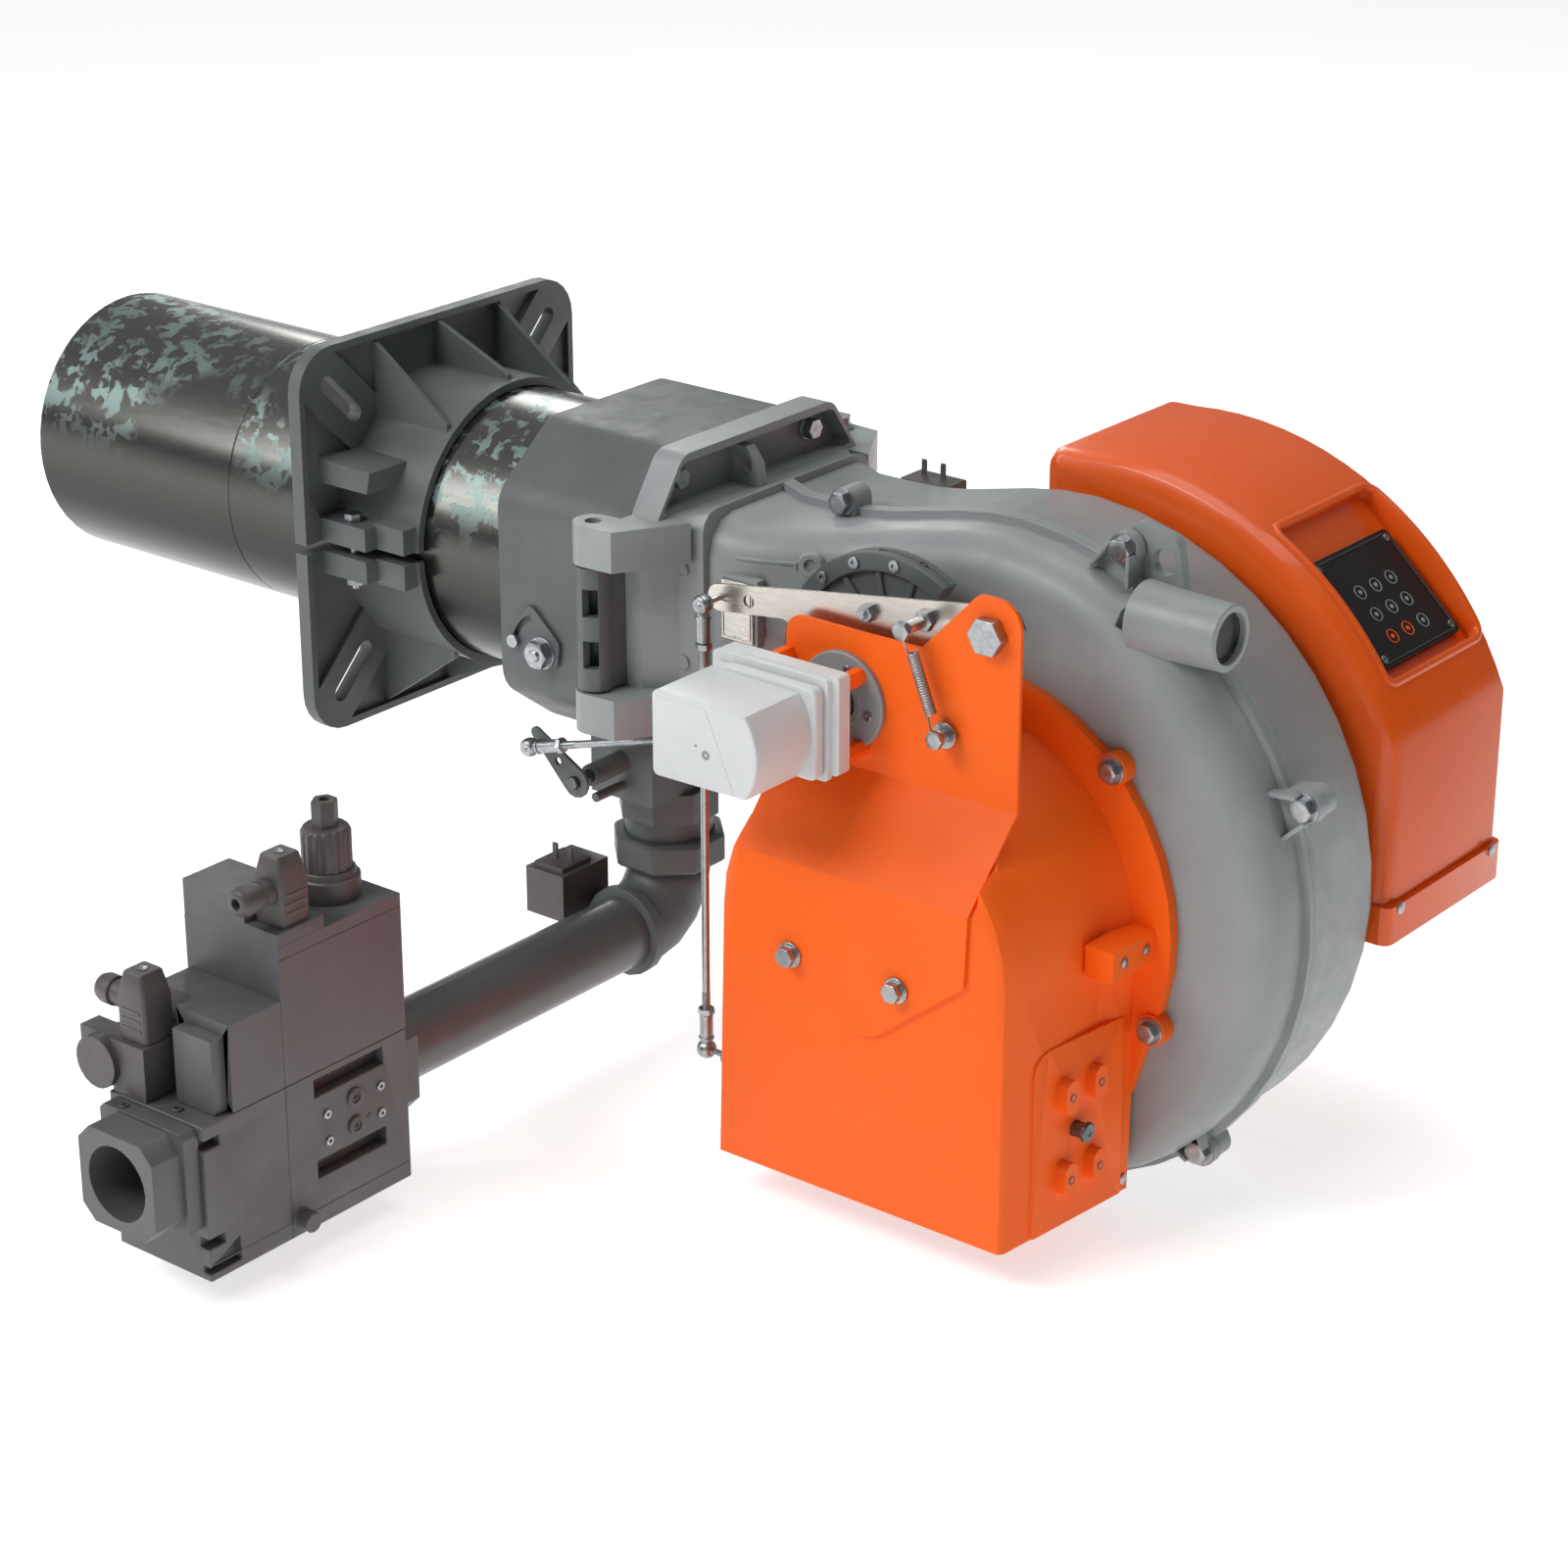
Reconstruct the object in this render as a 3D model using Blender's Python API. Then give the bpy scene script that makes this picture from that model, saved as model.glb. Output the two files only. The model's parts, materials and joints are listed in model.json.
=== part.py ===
"""Industrial gas burner: blast tube and mounting flange, hinged fan housing, air and gas
linkage, and gas valve train. Metres, +Z up. The origin is the blast tube's axis at the
boiler side of the mounting flange. +X runs from the flange towards the fan, -Y is the side
of the air intake and the gas train, and +Y is the motor side."""
import math

import bmesh
import bpy
from mathutils import Matrix, Vector

for old in list(bpy.data.objects):
    bpy.data.objects.remove(old, do_unlink=True)

# Clearances
FIT = 0.0003
SLIDE_FIT = 0.0006
RUN_FIT = 0.0005

# Blast tube
TUBE_RADIUS = 0.111
TUBE_WALL = 0.003
TUBE_TIP_X = -0.359
TUBE_SEAM_X = -0.128

# Mounting flange
FLANGE_SIDE = 0.320
FLANGE_CORNER = 0.035
FLANGE_THICK = 0.0125
FLANGE_WEB = 0.0070
FLANGE_RIM = 0.006
COLLAR_WALL = 0.0065
COLLAR_LENGTH = 0.094
RIB_THICK = 0.005
RIB_SPACING = 0.072
SLOT_WIDTH = 0.014
SLOT_INNER = 0.141
SLOT_OUTER = 0.183
SLOT_BOSS_HALF = 0.0245
SPLIT_GAP = 0.008
EAR_REACH = 0.024
EAR_HEIGHT = 0.019
EAR_END_X = 0.060
CLAMP_BOLT_X = 0.036
CLAMP_BOLT_RADIUS = 0.004

# Head casting
HEAD_FRONT_X = 0.192
HEAD_REAR_X = 0.318
HEAD_HALF_WIDTH = 0.130
HEAD_HALF_HEIGHT = 0.124
HEAD_FLAT_HALF = 0.068
HEAD_SIDE_HALF = 0.078
HEAD_WALL = 0.006
HEAD_FRONT_WALL = 0.008

# Hinge between the head and the fan housing
HINGE_X = 0.305
HINGE_OFFSET = 0.018
HINGE_Y = HEAD_HALF_WIDTH + HINGE_OFFSET
HINGE_LUG_RADIUS = 0.0155
HINGE_BARREL_RADIUS = 0.0140
HINGE_BORE = 0.0065
BARREL_TOP = 0.050
BARREL_BOTTOM = -0.047
LUG_HEIGHT = 0.033
HINGE_BOLT_RADIUS = 0.006

# Mixing head inside the tube
LANCE_RADIUS = 0.028
LANCE_WALL = 0.003
LANCE_FRONT_X = -0.318
LANCE_REAR_X = 0.276
FLAME_DISC_RADIUS = 0.082
FLAME_DISC_THICK = 0.003
FLAME_DISC_SLOTS = 8

# Head adjuster
ADJUSTER_X = 0.237
ADJUSTER_Z = -0.041
ADJUSTER_THICK = 0.003
ADJUSTER_SLOT_RADIUS = 0.028

# Gas connection under the head
GAS_X = 0.249
GAS_BORE = 0.025
BUTTERFLY_HALF_X = 0.032
BUTTERFLY_HALF_Y = 0.057
BUTTERFLY_HEIGHT = 0.060
BUTTERFLY_SHAFT_DROP = 0.028
BUTTERFLY_SHAFT_Z = -HEAD_HALF_HEIGHT - BUTTERFLY_SHAFT_DROP
BUTTERFLY_SHAFT_RADIUS = 0.005
ADAPTER_RADIUS = 0.042
ADAPTER_HEIGHT = 0.026
NECK_RADIUS = 0.036
NECK_HEIGHT = 0.020
NUT_RADIUS = 0.047
NUT_HEIGHT = 0.026
NUT_GAP = 0.016
ELBOW_RADIUS = 0.034
ELBOW_BEND = 0.045
ELBOW_LEAD = 0.0014
ELBOW_BEAD = 0.0375
PIPE_RADIUS = 0.030
PIPE_WALL = 0.004
ADAPTER_LOW = -HEAD_HALF_HEIGHT - BUTTERFLY_HEIGHT - 2.0 * FIT - ADAPTER_HEIGHT
NECK_LOW = ADAPTER_LOW - NECK_HEIGHT
NUT_TOP = ADAPTER_LOW - NUT_GAP
NUT_LOW = NUT_TOP - NUT_HEIGHT
GAS_Z = NUT_LOW - ELBOW_LEAD - ELBOW_BEND

# Gas valve
VALVE_HALF_X = 0.0475
VALVE_RISE = 0.043
VALVE_DROP = 0.080
VALVE_TOP_Z = GAS_Z + VALVE_RISE
VALVE_BOTTOM_Z = GAS_Z - VALVE_DROP
VALVE_OUT_Y = -0.357
VALVE_IN_Y = -0.561
INLET_FACE_Y = -0.601
OUTLET_FACE_Y = -0.335
PORT_RADIUS = 0.029
PORT_FLANGE_HALF = 0.038
MAIN_COIL_FRONT_Y = -0.480
MAIN_COIL_HEIGHT = 0.109
MAIN_COIL_TOP = VALVE_TOP_Z + MAIN_COIL_HEIGHT
MAIN_COIL_CAP = 0.028
SAFETY_COIL_FRONT_Y = -0.531
SAFETY_COIL_HEIGHT = 0.068
SAFETY_COIL_TOP = VALVE_TOP_Z + SAFETY_COIL_HEIGHT
KNOB_RADIUS = 0.0185
KNOB_X = 0.257
KNOB_Y = -0.390

# Fan housing
FAN_X = 0.592
FAN_Z = -0.165
SCROLL_BOTTOM_RADIUS = 0.237
SCROLL_GROWTH = 0.015
SCROLL_TONGUE_RADIUS = 0.207
SCROLL_WALL = 0.005
SCROLL_NEAR_DEPTH = 0.050
SCROLL_FAR_DEPTH = 0.097
SCROLL_FILLET = 0.028
SEAM_RIM = 0.006
DUCT_X = 0.372
DUCT_TOP = 0.085
DUCT_BOTTOM = -0.087
DUCT_HALF_Y = 0.095
DUCT_DIP = 0.079
INLET_RADIUS = 0.118
DUCT_PAD_X = 0.401

# Impeller and motor
IMPELLER_RADIUS = 0.150
BLADE_INNER_RADIUS = 0.121
BLADE_COUNT = 20
IMPELLER_PLATE_Y = 0.066
IMPELLER_PLATE = 0.004
IMPELLER_FRONT_Y = -0.040
MOTOR_SHAFT_RADIUS = 0.012
MOTOR_RADIUS = 0.054
MOTOR_FLANGE_RADIUS = 0.100
MOTOR_FLANGE = 0.008
MOTOR_END_Y = 0.250

# Air intake
INTAKE_FRONT_Y = -0.197
INTAKE_BACK_Y = -0.060
INTAKE_RING = 0.0095
INTAKE_RING_RADIUS = 0.176
INTAKE_FRONT_HALF_X = 0.131
INTAKE_FLARE = 0.013
INTAKE_HALF_X = INTAKE_FRONT_HALF_X + INTAKE_FLARE
INTAKE_BOTTOM_Z = -0.368
INTAKE_WALL = 0.004
INTAKE_ROUND = 0.016

# Air damper
DAMPER_Y = -0.119
DAMPER_Z = -0.294
DAMPER_SHAFT_RADIUS = 0.006
DAMPER_THICK = 0.003
CRANK_GAP = 0.015
CRANK_X = FAN_X - INTAKE_HALF_X - CRANK_GAP
CRANK_LENGTH = 0.040
CRANK_DROP = 33.7
ROD_Y = -0.152
ROD_OFFSET = 0.019
ROD_X = CRANK_X - ROD_OFFSET
ROD_RADIUS = 0.003
BALL_RADIUS = 0.0075

# Bracket, lever, servo and cam
SHEET = 0.003
BRACKET_LEFT = 0.4845
BRACKET_RIGHT = 0.692
BRACKET_FACE_Y = -0.1464
BEND_LOW_Z = -0.1117
BEND_HIGH_Z = -0.0506
LEVER_PIVOT_X = 0.667
LEVER_PIVOT_Z = 0.077
LEVER_FRONT_Y = -0.1340
LEVER_END_Z = 0.044
PIVOT_RADIUS = 0.007
CAM_X = 0.540
CAM_Z = -0.001
CAM_RADIUS = 0.095
CAM_BAND = 0.014
CAM_FRONT_Y = -0.097
CAM_WIDTH = 0.016
FOLLOWER_X = 0.552
FOLLOWER_Z = 0.064
FOLLOWER_RADIUS = 0.008
GAS_CRANK_RADIUS = 0.042
GAS_CRANK_END = 0.008
GAS_CRANK_ANGLE = -110.0
CAM_TRAVEL = 90.0
SERVO_FRONT_Y = -0.262
SERVO_BACK_Y = -0.190
SERVO_BASE_Y = -0.172
SERVO_LEFT = 0.458
SERVO_RIGHT = 0.541
SERVO_TOP = 0.022
SERVO_BOTTOM = -0.043
SERVO_BULGE = 0.012

# Hood over the motor
HOOD_NEAR_Y = 0.108
HOOD_FAR_Y = 0.272
HOOD_LEFT = 0.530
HOOD_TOP = 0.122
HOOD_BASE = -0.199
HOOD_RADIUS = 0.274
HOOD_SIDE_CUT = 0.021
HOOD_RIGHT = FAN_X + HOOD_RADIUS - HOOD_SIDE_CUT
HOOD_CENTRE_Z = -0.150
HOOD_WALL = 0.004
HOOD_ROUND = 0.014
PANEL_ANGLE = 47.0
PANEL_DEPTH = 0.010
PANEL_LENGTH = 0.096
PANEL_WIDTH = 0.112
PANEL_THICK = 0.006
PANEL_Y = 0.198


# Geometry helpers

def at(axis, u, v, along):
    """A point from its two coordinates across an axis and the one along it."""
    if axis == "X":
        return Vector((along, u, v))
    if axis == "Y":
        return Vector((u, along, v))
    return Vector((u, v, along))


def arc(centre, radius, start, end, steps):
    """Points along an arc, with angles in degrees and both ends included."""
    points = []
    for i in range(steps + 1):
        a = math.radians(start + (end - start) * i / steps)
        points.append((centre[0] + radius * math.cos(a), centre[1] + radius * math.sin(a)))
    return points


def circle(centre, radius, steps, turn=0.0):
    return arc(centre, radius, turn, turn + 360.0 * (steps - 1) / steps, steps - 1)


def rounded(corners, radius, steps=4):
    """A polygon whose corners are replaced with arcs. radius is one value or one a corner."""
    radii = radius if isinstance(radius, (list, tuple)) else [radius] * len(corners)
    points = []
    for i, corner in enumerate(corners):
        here = Vector(corner)
        before = (Vector(corners[i - 1]) - here).normalized()
        after = (Vector(corners[(i + 1) % len(corners)]) - here).normalized()
        if radii[i] <= 0.0:
            points.append(tuple(here))
            continue
        half = before.angle(after) / 2.0
        centre = here + (before + after).normalized() * (radii[i] / math.sin(half))
        first = here + before * (radii[i] / math.tan(half)) - centre
        last = here + after * (radii[i] / math.tan(half)) - centre
        start = math.atan2(first.y, first.x)
        turn = math.atan2(last.y, last.x) - start
        turn = (turn + math.pi) % (2.0 * math.pi) - math.pi
        for k in range(steps + 1):
            a = start + turn * k / steps
            points.append((centre.x + radii[i] * math.cos(a), centre.y + radii[i] * math.sin(a)))
    return points


def rectangle(u0, u1, v0, v1, radius=0.0, steps=4):
    corners = [(u0, v0), (u1, v0), (u1, v1), (u0, v1)]
    return rounded(corners, radius, steps) if radius > 0.0 else corners


def offset(outline, distance):
    """The outline moved outwards by distance, edge by edge, with mitred corners."""
    area = sum(a[0] * b[1] - b[0] * a[1] for a, b in zip(outline, outline[1:] + outline[:1]))
    side = 1.0 if area > 0.0 else -1.0
    moved = []
    for i, point in enumerate(outline):
        here = Vector(point)
        d0 = (here - Vector(outline[i - 1])).normalized()
        d1 = (Vector(outline[(i + 1) % len(outline)]) - here).normalized()
        n0 = Vector((d0.y, -d0.x)) * side
        n1 = Vector((d1.y, -d1.x)) * side
        shift = (n0 + n1) / max(1.0 + n0.dot(n1), 0.3)
        moved.append(tuple(here + shift * distance))
    return moved


def finish(bm):
    """Merges coincident points and turns every face outwards."""
    bmesh.ops.remove_doubles(bm, verts=bm.verts[:], dist=0.000002)
    bmesh.ops.recalc_face_normals(bm, faces=bm.faces[:])
    if bm.calc_volume(signed=True) < 0.0:
        bmesh.ops.reverse_faces(bm, faces=bm.faces[:])
    return bm


def prism(outline, axis, low, high):
    """An outline across an axis, extruded along it from low to high."""
    bm = bmesh.new()
    face = bm.faces.new([bm.verts.new(at(axis, u, v, low)) for u, v in outline])
    grown = bmesh.ops.extrude_face_region(bm, geom=[face])["geom"]
    moved = [item for item in grown if isinstance(item, bmesh.types.BMVert)]
    bmesh.ops.translate(bm, verts=moved, vec=at(axis, 0.0, 0.0, high - low))
    return finish(bm)


def box(x0, x1, y0, y1, z0, z1):
    return prism(rectangle(y0, y1, z0, z1), "X", x0, x1)


def rod(axis, centre, radius, low, high, steps=16):
    return prism(circle(centre, radius, steps), axis, low, high)


def hexagon(axis, centre, radius, low, high, turn=0.0):
    return prism(circle(centre, radius, 6, turn), axis, low, high)


def revolve(profile, axis, centre, steps):
    """A closed profile of (radius, along) points, turned once around an axis."""
    bm = bmesh.new()
    verts = [bm.verts.new(at(axis, centre[0] + r, centre[1], along)) for r, along in profile]
    for a, b in zip(verts, verts[1:] + verts[:1]):
        bm.edges.new((a, b))
    pivot = at(axis, centre[0], centre[1], 0.0)
    direction = at(axis, 0.0, 0.0, 1.0)
    bmesh.ops.spin(bm, geom=bm.verts[:] + bm.edges[:], cent=pivot, axis=direction, dvec=(0, 0, 0),
                   angle=2.0 * math.pi, steps=steps, use_merge=True)
    bmesh.ops.dissolve_degenerate(bm, dist=0.000002, edges=bm.edges[:])
    return finish(bm)


def tube(axis, centre, outer, inner, low, high, steps=32):
    return revolve([(outer, low), (outer, high), (inner, high), (inner, low)], axis, centre, steps)


def loft(loops, ring=False):
    """A skin over loops of equal length, capped at both ends or closed into a ring."""
    bm = bmesh.new()
    rows = [[bm.verts.new(p) for p in loop] for loop in loops]
    pairs = list(zip(rows, rows[1:]))
    if ring:
        pairs.append((rows[-1], rows[0]))
    for low, high in pairs:
        for i in range(len(low)):
            k = (i + 1) % len(low)
            bm.faces.new((low[i], low[k], high[k], high[i]))
    if not ring:
        bm.faces.new(rows[0])
        bm.faces.new(rows[-1])
    finish(bm)
    bmesh.ops.connect_verts_nonplanar(bm, angle_limit=math.radians(0.05), faces=bm.faces[:])
    return bm


def joined(*parts):
    """Several separate solids in one mesh, for use as one cutter or one addition."""
    whole = bmesh.new()
    for part in parts:
        scratch = bpy.data.meshes.new("scratch")
        part.to_mesh(scratch)
        whole.from_mesh(scratch)
        bpy.data.meshes.remove(scratch)
        part.free()
    return whole


def combine(base, tool, operation):
    """The Boolean of two solids, as a new mesh."""
    solids = []
    for label, bm in (("base", base), ("tool", tool)):
        mesh = bpy.data.meshes.new(label)
        bm.to_mesh(mesh)
        bm.free()
        solid = bpy.data.objects.new(label, mesh)
        bpy.context.scene.collection.objects.link(solid)
        solids.append(solid)
    step = solids[0].modifiers.new("boolean", "BOOLEAN")
    step.object = solids[1]
    step.operation = operation
    step.solver = "EXACT"
    graph = bpy.context.evaluated_depsgraph_get()
    result = bmesh.new()
    result.from_mesh(solids[0].evaluated_get(graph).to_mesh())
    for solid in solids:
        mesh = solid.data
        bpy.data.objects.remove(solid, do_unlink=True)
        bpy.data.meshes.remove(mesh)
    bmesh.ops.remove_doubles(result, verts=result.verts[:], dist=0.000002)
    bmesh.ops.dissolve_degenerate(result, dist=0.000002, edges=result.edges[:])
    return result


def cut(base, *tools):
    for tool in tools:
        base = combine(base, tool, "DIFFERENCE")
    return base


def add(base, *tools):
    for tool in tools:
        base = combine(base, tool, "UNION")
    return base


def turned(bm, axis, degrees, about=(0.0, 0.0, 0.0)):
    bmesh.ops.rotate(bm, verts=bm.verts[:], cent=about,
                     matrix=Matrix.Rotation(math.radians(degrees), 3, axis))
    return bm


def chamfered(bm, width, limit=40.0):
    """Narrow chamfers on every edge sharper than limit degrees."""
    sharp = [e for e in bm.edges if len(e.link_faces) == 2
             and e.calc_face_angle(0.0) > math.radians(limit)]
    bmesh.ops.bevel(bm, geom=sharp, offset=width, segments=1, affect="EDGES",
                    clamp_overlap=True)
    return bm


# Bodies and nodes

PIVOTS = {}
EMPTIES = {}
FINISHES = {
    "cast_dark": ((0.060, 0.068, 0.070), 0.55, 0.6),
    "cast_grey": ((0.240, 0.280, 0.295), 0.50, 0.4),
    "galvanised": ((0.230, 0.240, 0.240), 0.25, 1.0),
    "orange": ((1.000, 0.130, 0.010), 0.40, 0.0),
    "hood_orange": ((0.850, 0.090, 0.010), 0.15, 0.0),
    "zinc": ((0.550, 0.540, 0.520), 0.30, 1.0),
    "nickel": ((0.700, 0.650, 0.600), 0.25, 1.0),
    "valve": ((0.055, 0.055, 0.052), 0.50, 0.3),
    "black_plastic": ((0.020, 0.020, 0.020), 0.35, 0.0),
    "servo_white": ((0.780, 0.790, 0.800), 0.35, 0.0),
    "pipe": ((0.070, 0.080, 0.082), 0.25, 0.5),
    "steel": ((0.400, 0.390, 0.380), 0.35, 1.0),
    "ceramic": ((0.800, 0.780, 0.720), 0.40, 0.0),
}
MATERIALS = {}


def material(name):
    if name not in MATERIALS:
        colour, roughness, metallic = FINISHES[name]
        made = bpy.data.materials.new(name)
        made.use_nodes = True
        shader = made.node_tree.nodes["Principled BSDF"]
        shader.inputs["Base Color"].default_value = (*colour, 1.0)
        shader.inputs["Roughness"].default_value = roughness
        shader.inputs["Metallic"].default_value = metallic
        MATERIALS[name] = made
    return MATERIALS[name]


def body(name, pivot, parent=None):
    """An empty on a moving body's joint axis, which carries the body's pieces."""
    empty = bpy.data.objects.new("body_" + name, None)
    bpy.context.scene.collection.objects.link(empty)
    PIVOTS[name] = Vector(pivot)
    EMPTIES[name] = empty
    empty.location = PIVOTS[name]
    if parent:
        empty.parent = EMPTIES[parent]
        empty.location = PIVOTS[name] - PIVOTS[parent]
    return name


def node(name, bm, finish_name, carrier):
    """A finished solid as a named object, with its origin on its body's pivot."""
    bmesh.ops.translate(bm, verts=bm.verts[:], vec=-PIVOTS[carrier])
    mesh = bpy.data.meshes.new(name)
    bm.to_mesh(mesh)
    bm.free()
    mesh.materials.append(material(finish_name))
    mesh.shade_smooth()
    mesh.set_sharp_from_angle(angle=math.radians(35.0))
    piece = bpy.data.objects.new(name, mesh)
    piece.parent = EMPTIES[carrier]
    bpy.context.scene.collection.objects.link(piece)
    return piece


# Points and angles of the linkage that several pieces share

CRANK_REST = (DAMPER_Y - CRANK_LENGTH * math.cos(math.radians(CRANK_DROP)),
              DAMPER_Z - CRANK_LENGTH * math.sin(math.radians(CRANK_DROP)))
DAMPER_TRAVEL = 2.0 * CRANK_DROP
LEVER_LENGTH = math.hypot(LEVER_PIVOT_X - ROD_X, LEVER_PIVOT_Z - LEVER_END_Z)
LEVER_RISE = 2.0 * CRANK_LENGTH * math.sin(math.radians(CRANK_DROP))
LEVER_TRAVEL = math.degrees(LEVER_RISE / LEVER_LENGTH)
GAS_PIN = (CAM_X + GAS_CRANK_RADIUS * math.cos(math.radians(GAS_CRANK_ANGLE)),
           CAM_Z + GAS_CRANK_RADIUS * math.sin(math.radians(GAS_CRANK_ANGLE)))
GAS_BALL = (GAS_X - 0.033, BUTTERFLY_SHAFT_Z + 0.026)
GAS_PIN_Y = -0.107
GAS_BALL_Y = -0.127
GAS_LEVER_Y = -0.1095
GAS_LEVER_THICK = 0.003
BRACKET_BACK_Y = BRACKET_FACE_Y + SHEET
LEVER_BACK_Y = LEVER_FRONT_Y + SHEET
STANDOFFS = [(x, z) for x in (SERVO_LEFT + 0.032, SERVO_RIGHT + SERVO_BULGE + 0.004)
             for z in (SERVO_BOTTOM + 0.010, SERVO_TOP)]


# Mounting flange

def flange_pocket():
    """The recess between two slot bosses, on the top side of the plate."""
    half = FLANGE_SIDE / 2.0
    rim = half - FLANGE_RIM
    skew = SLOT_BOSS_HALF * math.sqrt(2.0)
    low = TUBE_RADIUS * 0.72
    shape = [(skew - rim, rim), (skew - low, low), (low - skew, low), (rim - skew, rim)]
    return prism(shape, "X", FLANGE_WEB, FLANGE_THICK + 0.001)


def flange_slot(turn):
    half = SLOT_WIDTH / 2.0
    shape = arc((SLOT_OUTER, 0.0), half, -90.0, 90.0, 6) + arc((SLOT_INNER, 0.0), half, 90.0, 270.0, 6)
    return turned(prism(shape, "X", -0.001, FLANGE_THICK + 0.001), "X", turn)


def flange_rib(turn, shift):
    """A gusset from the plate's rim to the end of the collar."""
    half = FLANGE_SIDE / 2.0
    collar = TUBE_RADIUS + SLIDE_FIT + COLLAR_WALL
    reach = math.sqrt(collar ** 2 - shift ** 2)
    foot = reach - 0.004
    shape = [(FLANGE_WEB / 2.0, foot), (COLLAR_LENGTH - 0.006, foot),
             (COLLAR_LENGTH - 0.006, reach + 0.004), (FLANGE_WEB / 2.0, half - FLANGE_RIM / 2.0)]
    rib = prism(shape, "Y", shift - RIB_THICK / 2.0, shift + RIB_THICK / 2.0)
    return turned(rib, "X", turn)


def mounting_flange():
    half = FLANGE_SIDE / 2.0
    collar = TUBE_RADIUS + SLIDE_FIT + COLLAR_WALL
    plate = prism(rectangle(-half, half, -half, half, FLANGE_CORNER, 6), "X", 0.0, FLANGE_THICK)
    for turn in (0.0, 90.0, 180.0, 270.0):
        plate = cut(plate, turned(flange_pocket(), "X", turn), flange_slot(turn + 45.0))
    plate = add(plate, rod("X", (0.0, 0.0), collar, 0.001, COLLAR_LENGTH, 48))
    for turn in (0.0, 180.0, 270.0):
        for shift in (-RIB_SPACING, 0.0, RIB_SPACING):
            plate = add(plate, flange_rib(turn, shift))
    ear_y = -collar - EAR_REACH
    for side in (1.0, -1.0):
        low = SPLIT_GAP / 2.0 - 0.002
        high = SPLIT_GAP / 2.0 + EAR_HEIGHT
        web = [(-half + FLANGE_RIM / 2.0, 0.0), (-half + FLANGE_RIM / 2.0, side * 0.052),
               (ear_y, side * (high - 0.0015)), (-collar + 0.005, side * (high - 0.0015)),
               (-collar + 0.005, 0.0)]
        ear = prism(rectangle(ear_y, -collar + 0.006, side * low, side * high), "X",
                    0.003, EAR_END_X)
        lug = prism(rectangle(ear_y + 0.012, -collar + 0.004, side * (low + 0.0005),
                              side * (high + 0.002)),
                    "X", EAR_END_X - 0.002, COLLAR_LENGTH - 0.004)
        plate = add(plate, prism(web, "X", 0.001, FLANGE_THICK - 0.0004), ear, lug)
    block = [(0.003, 0.051), (0.060, 0.051), (0.064, 0.069), (0.003, 0.071)]
    plate = add(plate, prism(block, "Y", -collar - 0.020, -collar + 0.022))
    bore = rod("X", (0.0, 0.0), TUBE_RADIUS + SLIDE_FIT, -0.01, COLLAR_LENGTH + 0.01, 48)
    split = box(-0.01, COLLAR_LENGTH + 0.01, -FLANGE_SIDE, -TUBE_RADIUS + 0.01,
                -SPLIT_GAP / 2.0, SPLIT_GAP / 2.0)
    hole = rod("Z", (CLAMP_BOLT_X, ear_y + 0.012), CLAMP_BOLT_RADIUS + FIT, -0.06, 0.06, 12)
    return cut(plate, bore, split, hole)


def clamp_bolt():
    """The bolt and nut that draw the split collar together."""
    y = -TUBE_RADIUS - SLIDE_FIT - COLLAR_WALL - EAR_REACH + 0.012
    face = SPLIT_GAP / 2.0 + EAR_HEIGHT + FIT
    shank = rod("Z", (CLAMP_BOLT_X, y), CLAMP_BOLT_RADIUS, -face - 0.010, face + 0.002, 12)
    head = hexagon("Z", (CLAMP_BOLT_X, y), 0.0075, face, face + 0.006)
    nut = hexagon("Z", (CLAMP_BOLT_X, y), 0.0075, -face - 0.007, -face)
    return add(shank, head, nut)


# Head casting, tube and mixing head

def head_outline():
    corners = [(-HEAD_HALF_WIDTH, -HEAD_SIDE_HALF), (-HEAD_FLAT_HALF, -HEAD_HALF_HEIGHT),
               (HEAD_FLAT_HALF, -HEAD_HALF_HEIGHT), (HEAD_HALF_WIDTH, -HEAD_SIDE_HALF),
               (HEAD_HALF_WIDTH, HEAD_SIDE_HALF), (HEAD_FLAT_HALF, HEAD_HALF_HEIGHT),
               (-HEAD_FLAT_HALF, HEAD_HALF_HEIGHT), (-HEAD_HALF_WIDTH, HEAD_SIDE_HALF)]
    return rounded(corners, 0.030, 4)


def hinge_barrel(side):
    """The head's half of a hinge, with its web and the two core windows."""
    y = side * HINGE_Y
    barrel = rod("Z", (HINGE_X, y), HINGE_BARREL_RADIUS, BARREL_BOTTOM, BARREL_TOP, 20)
    edges = sorted((y, side * (HEAD_HALF_WIDTH - 0.004)))
    web = box(HINGE_X - 0.012, HEAD_REAR_X - 0.0002, edges[0], edges[1], BARREL_BOTTOM + 0.0002,
              BARREL_TOP - 0.0002)
    return add(barrel, web)


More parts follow.
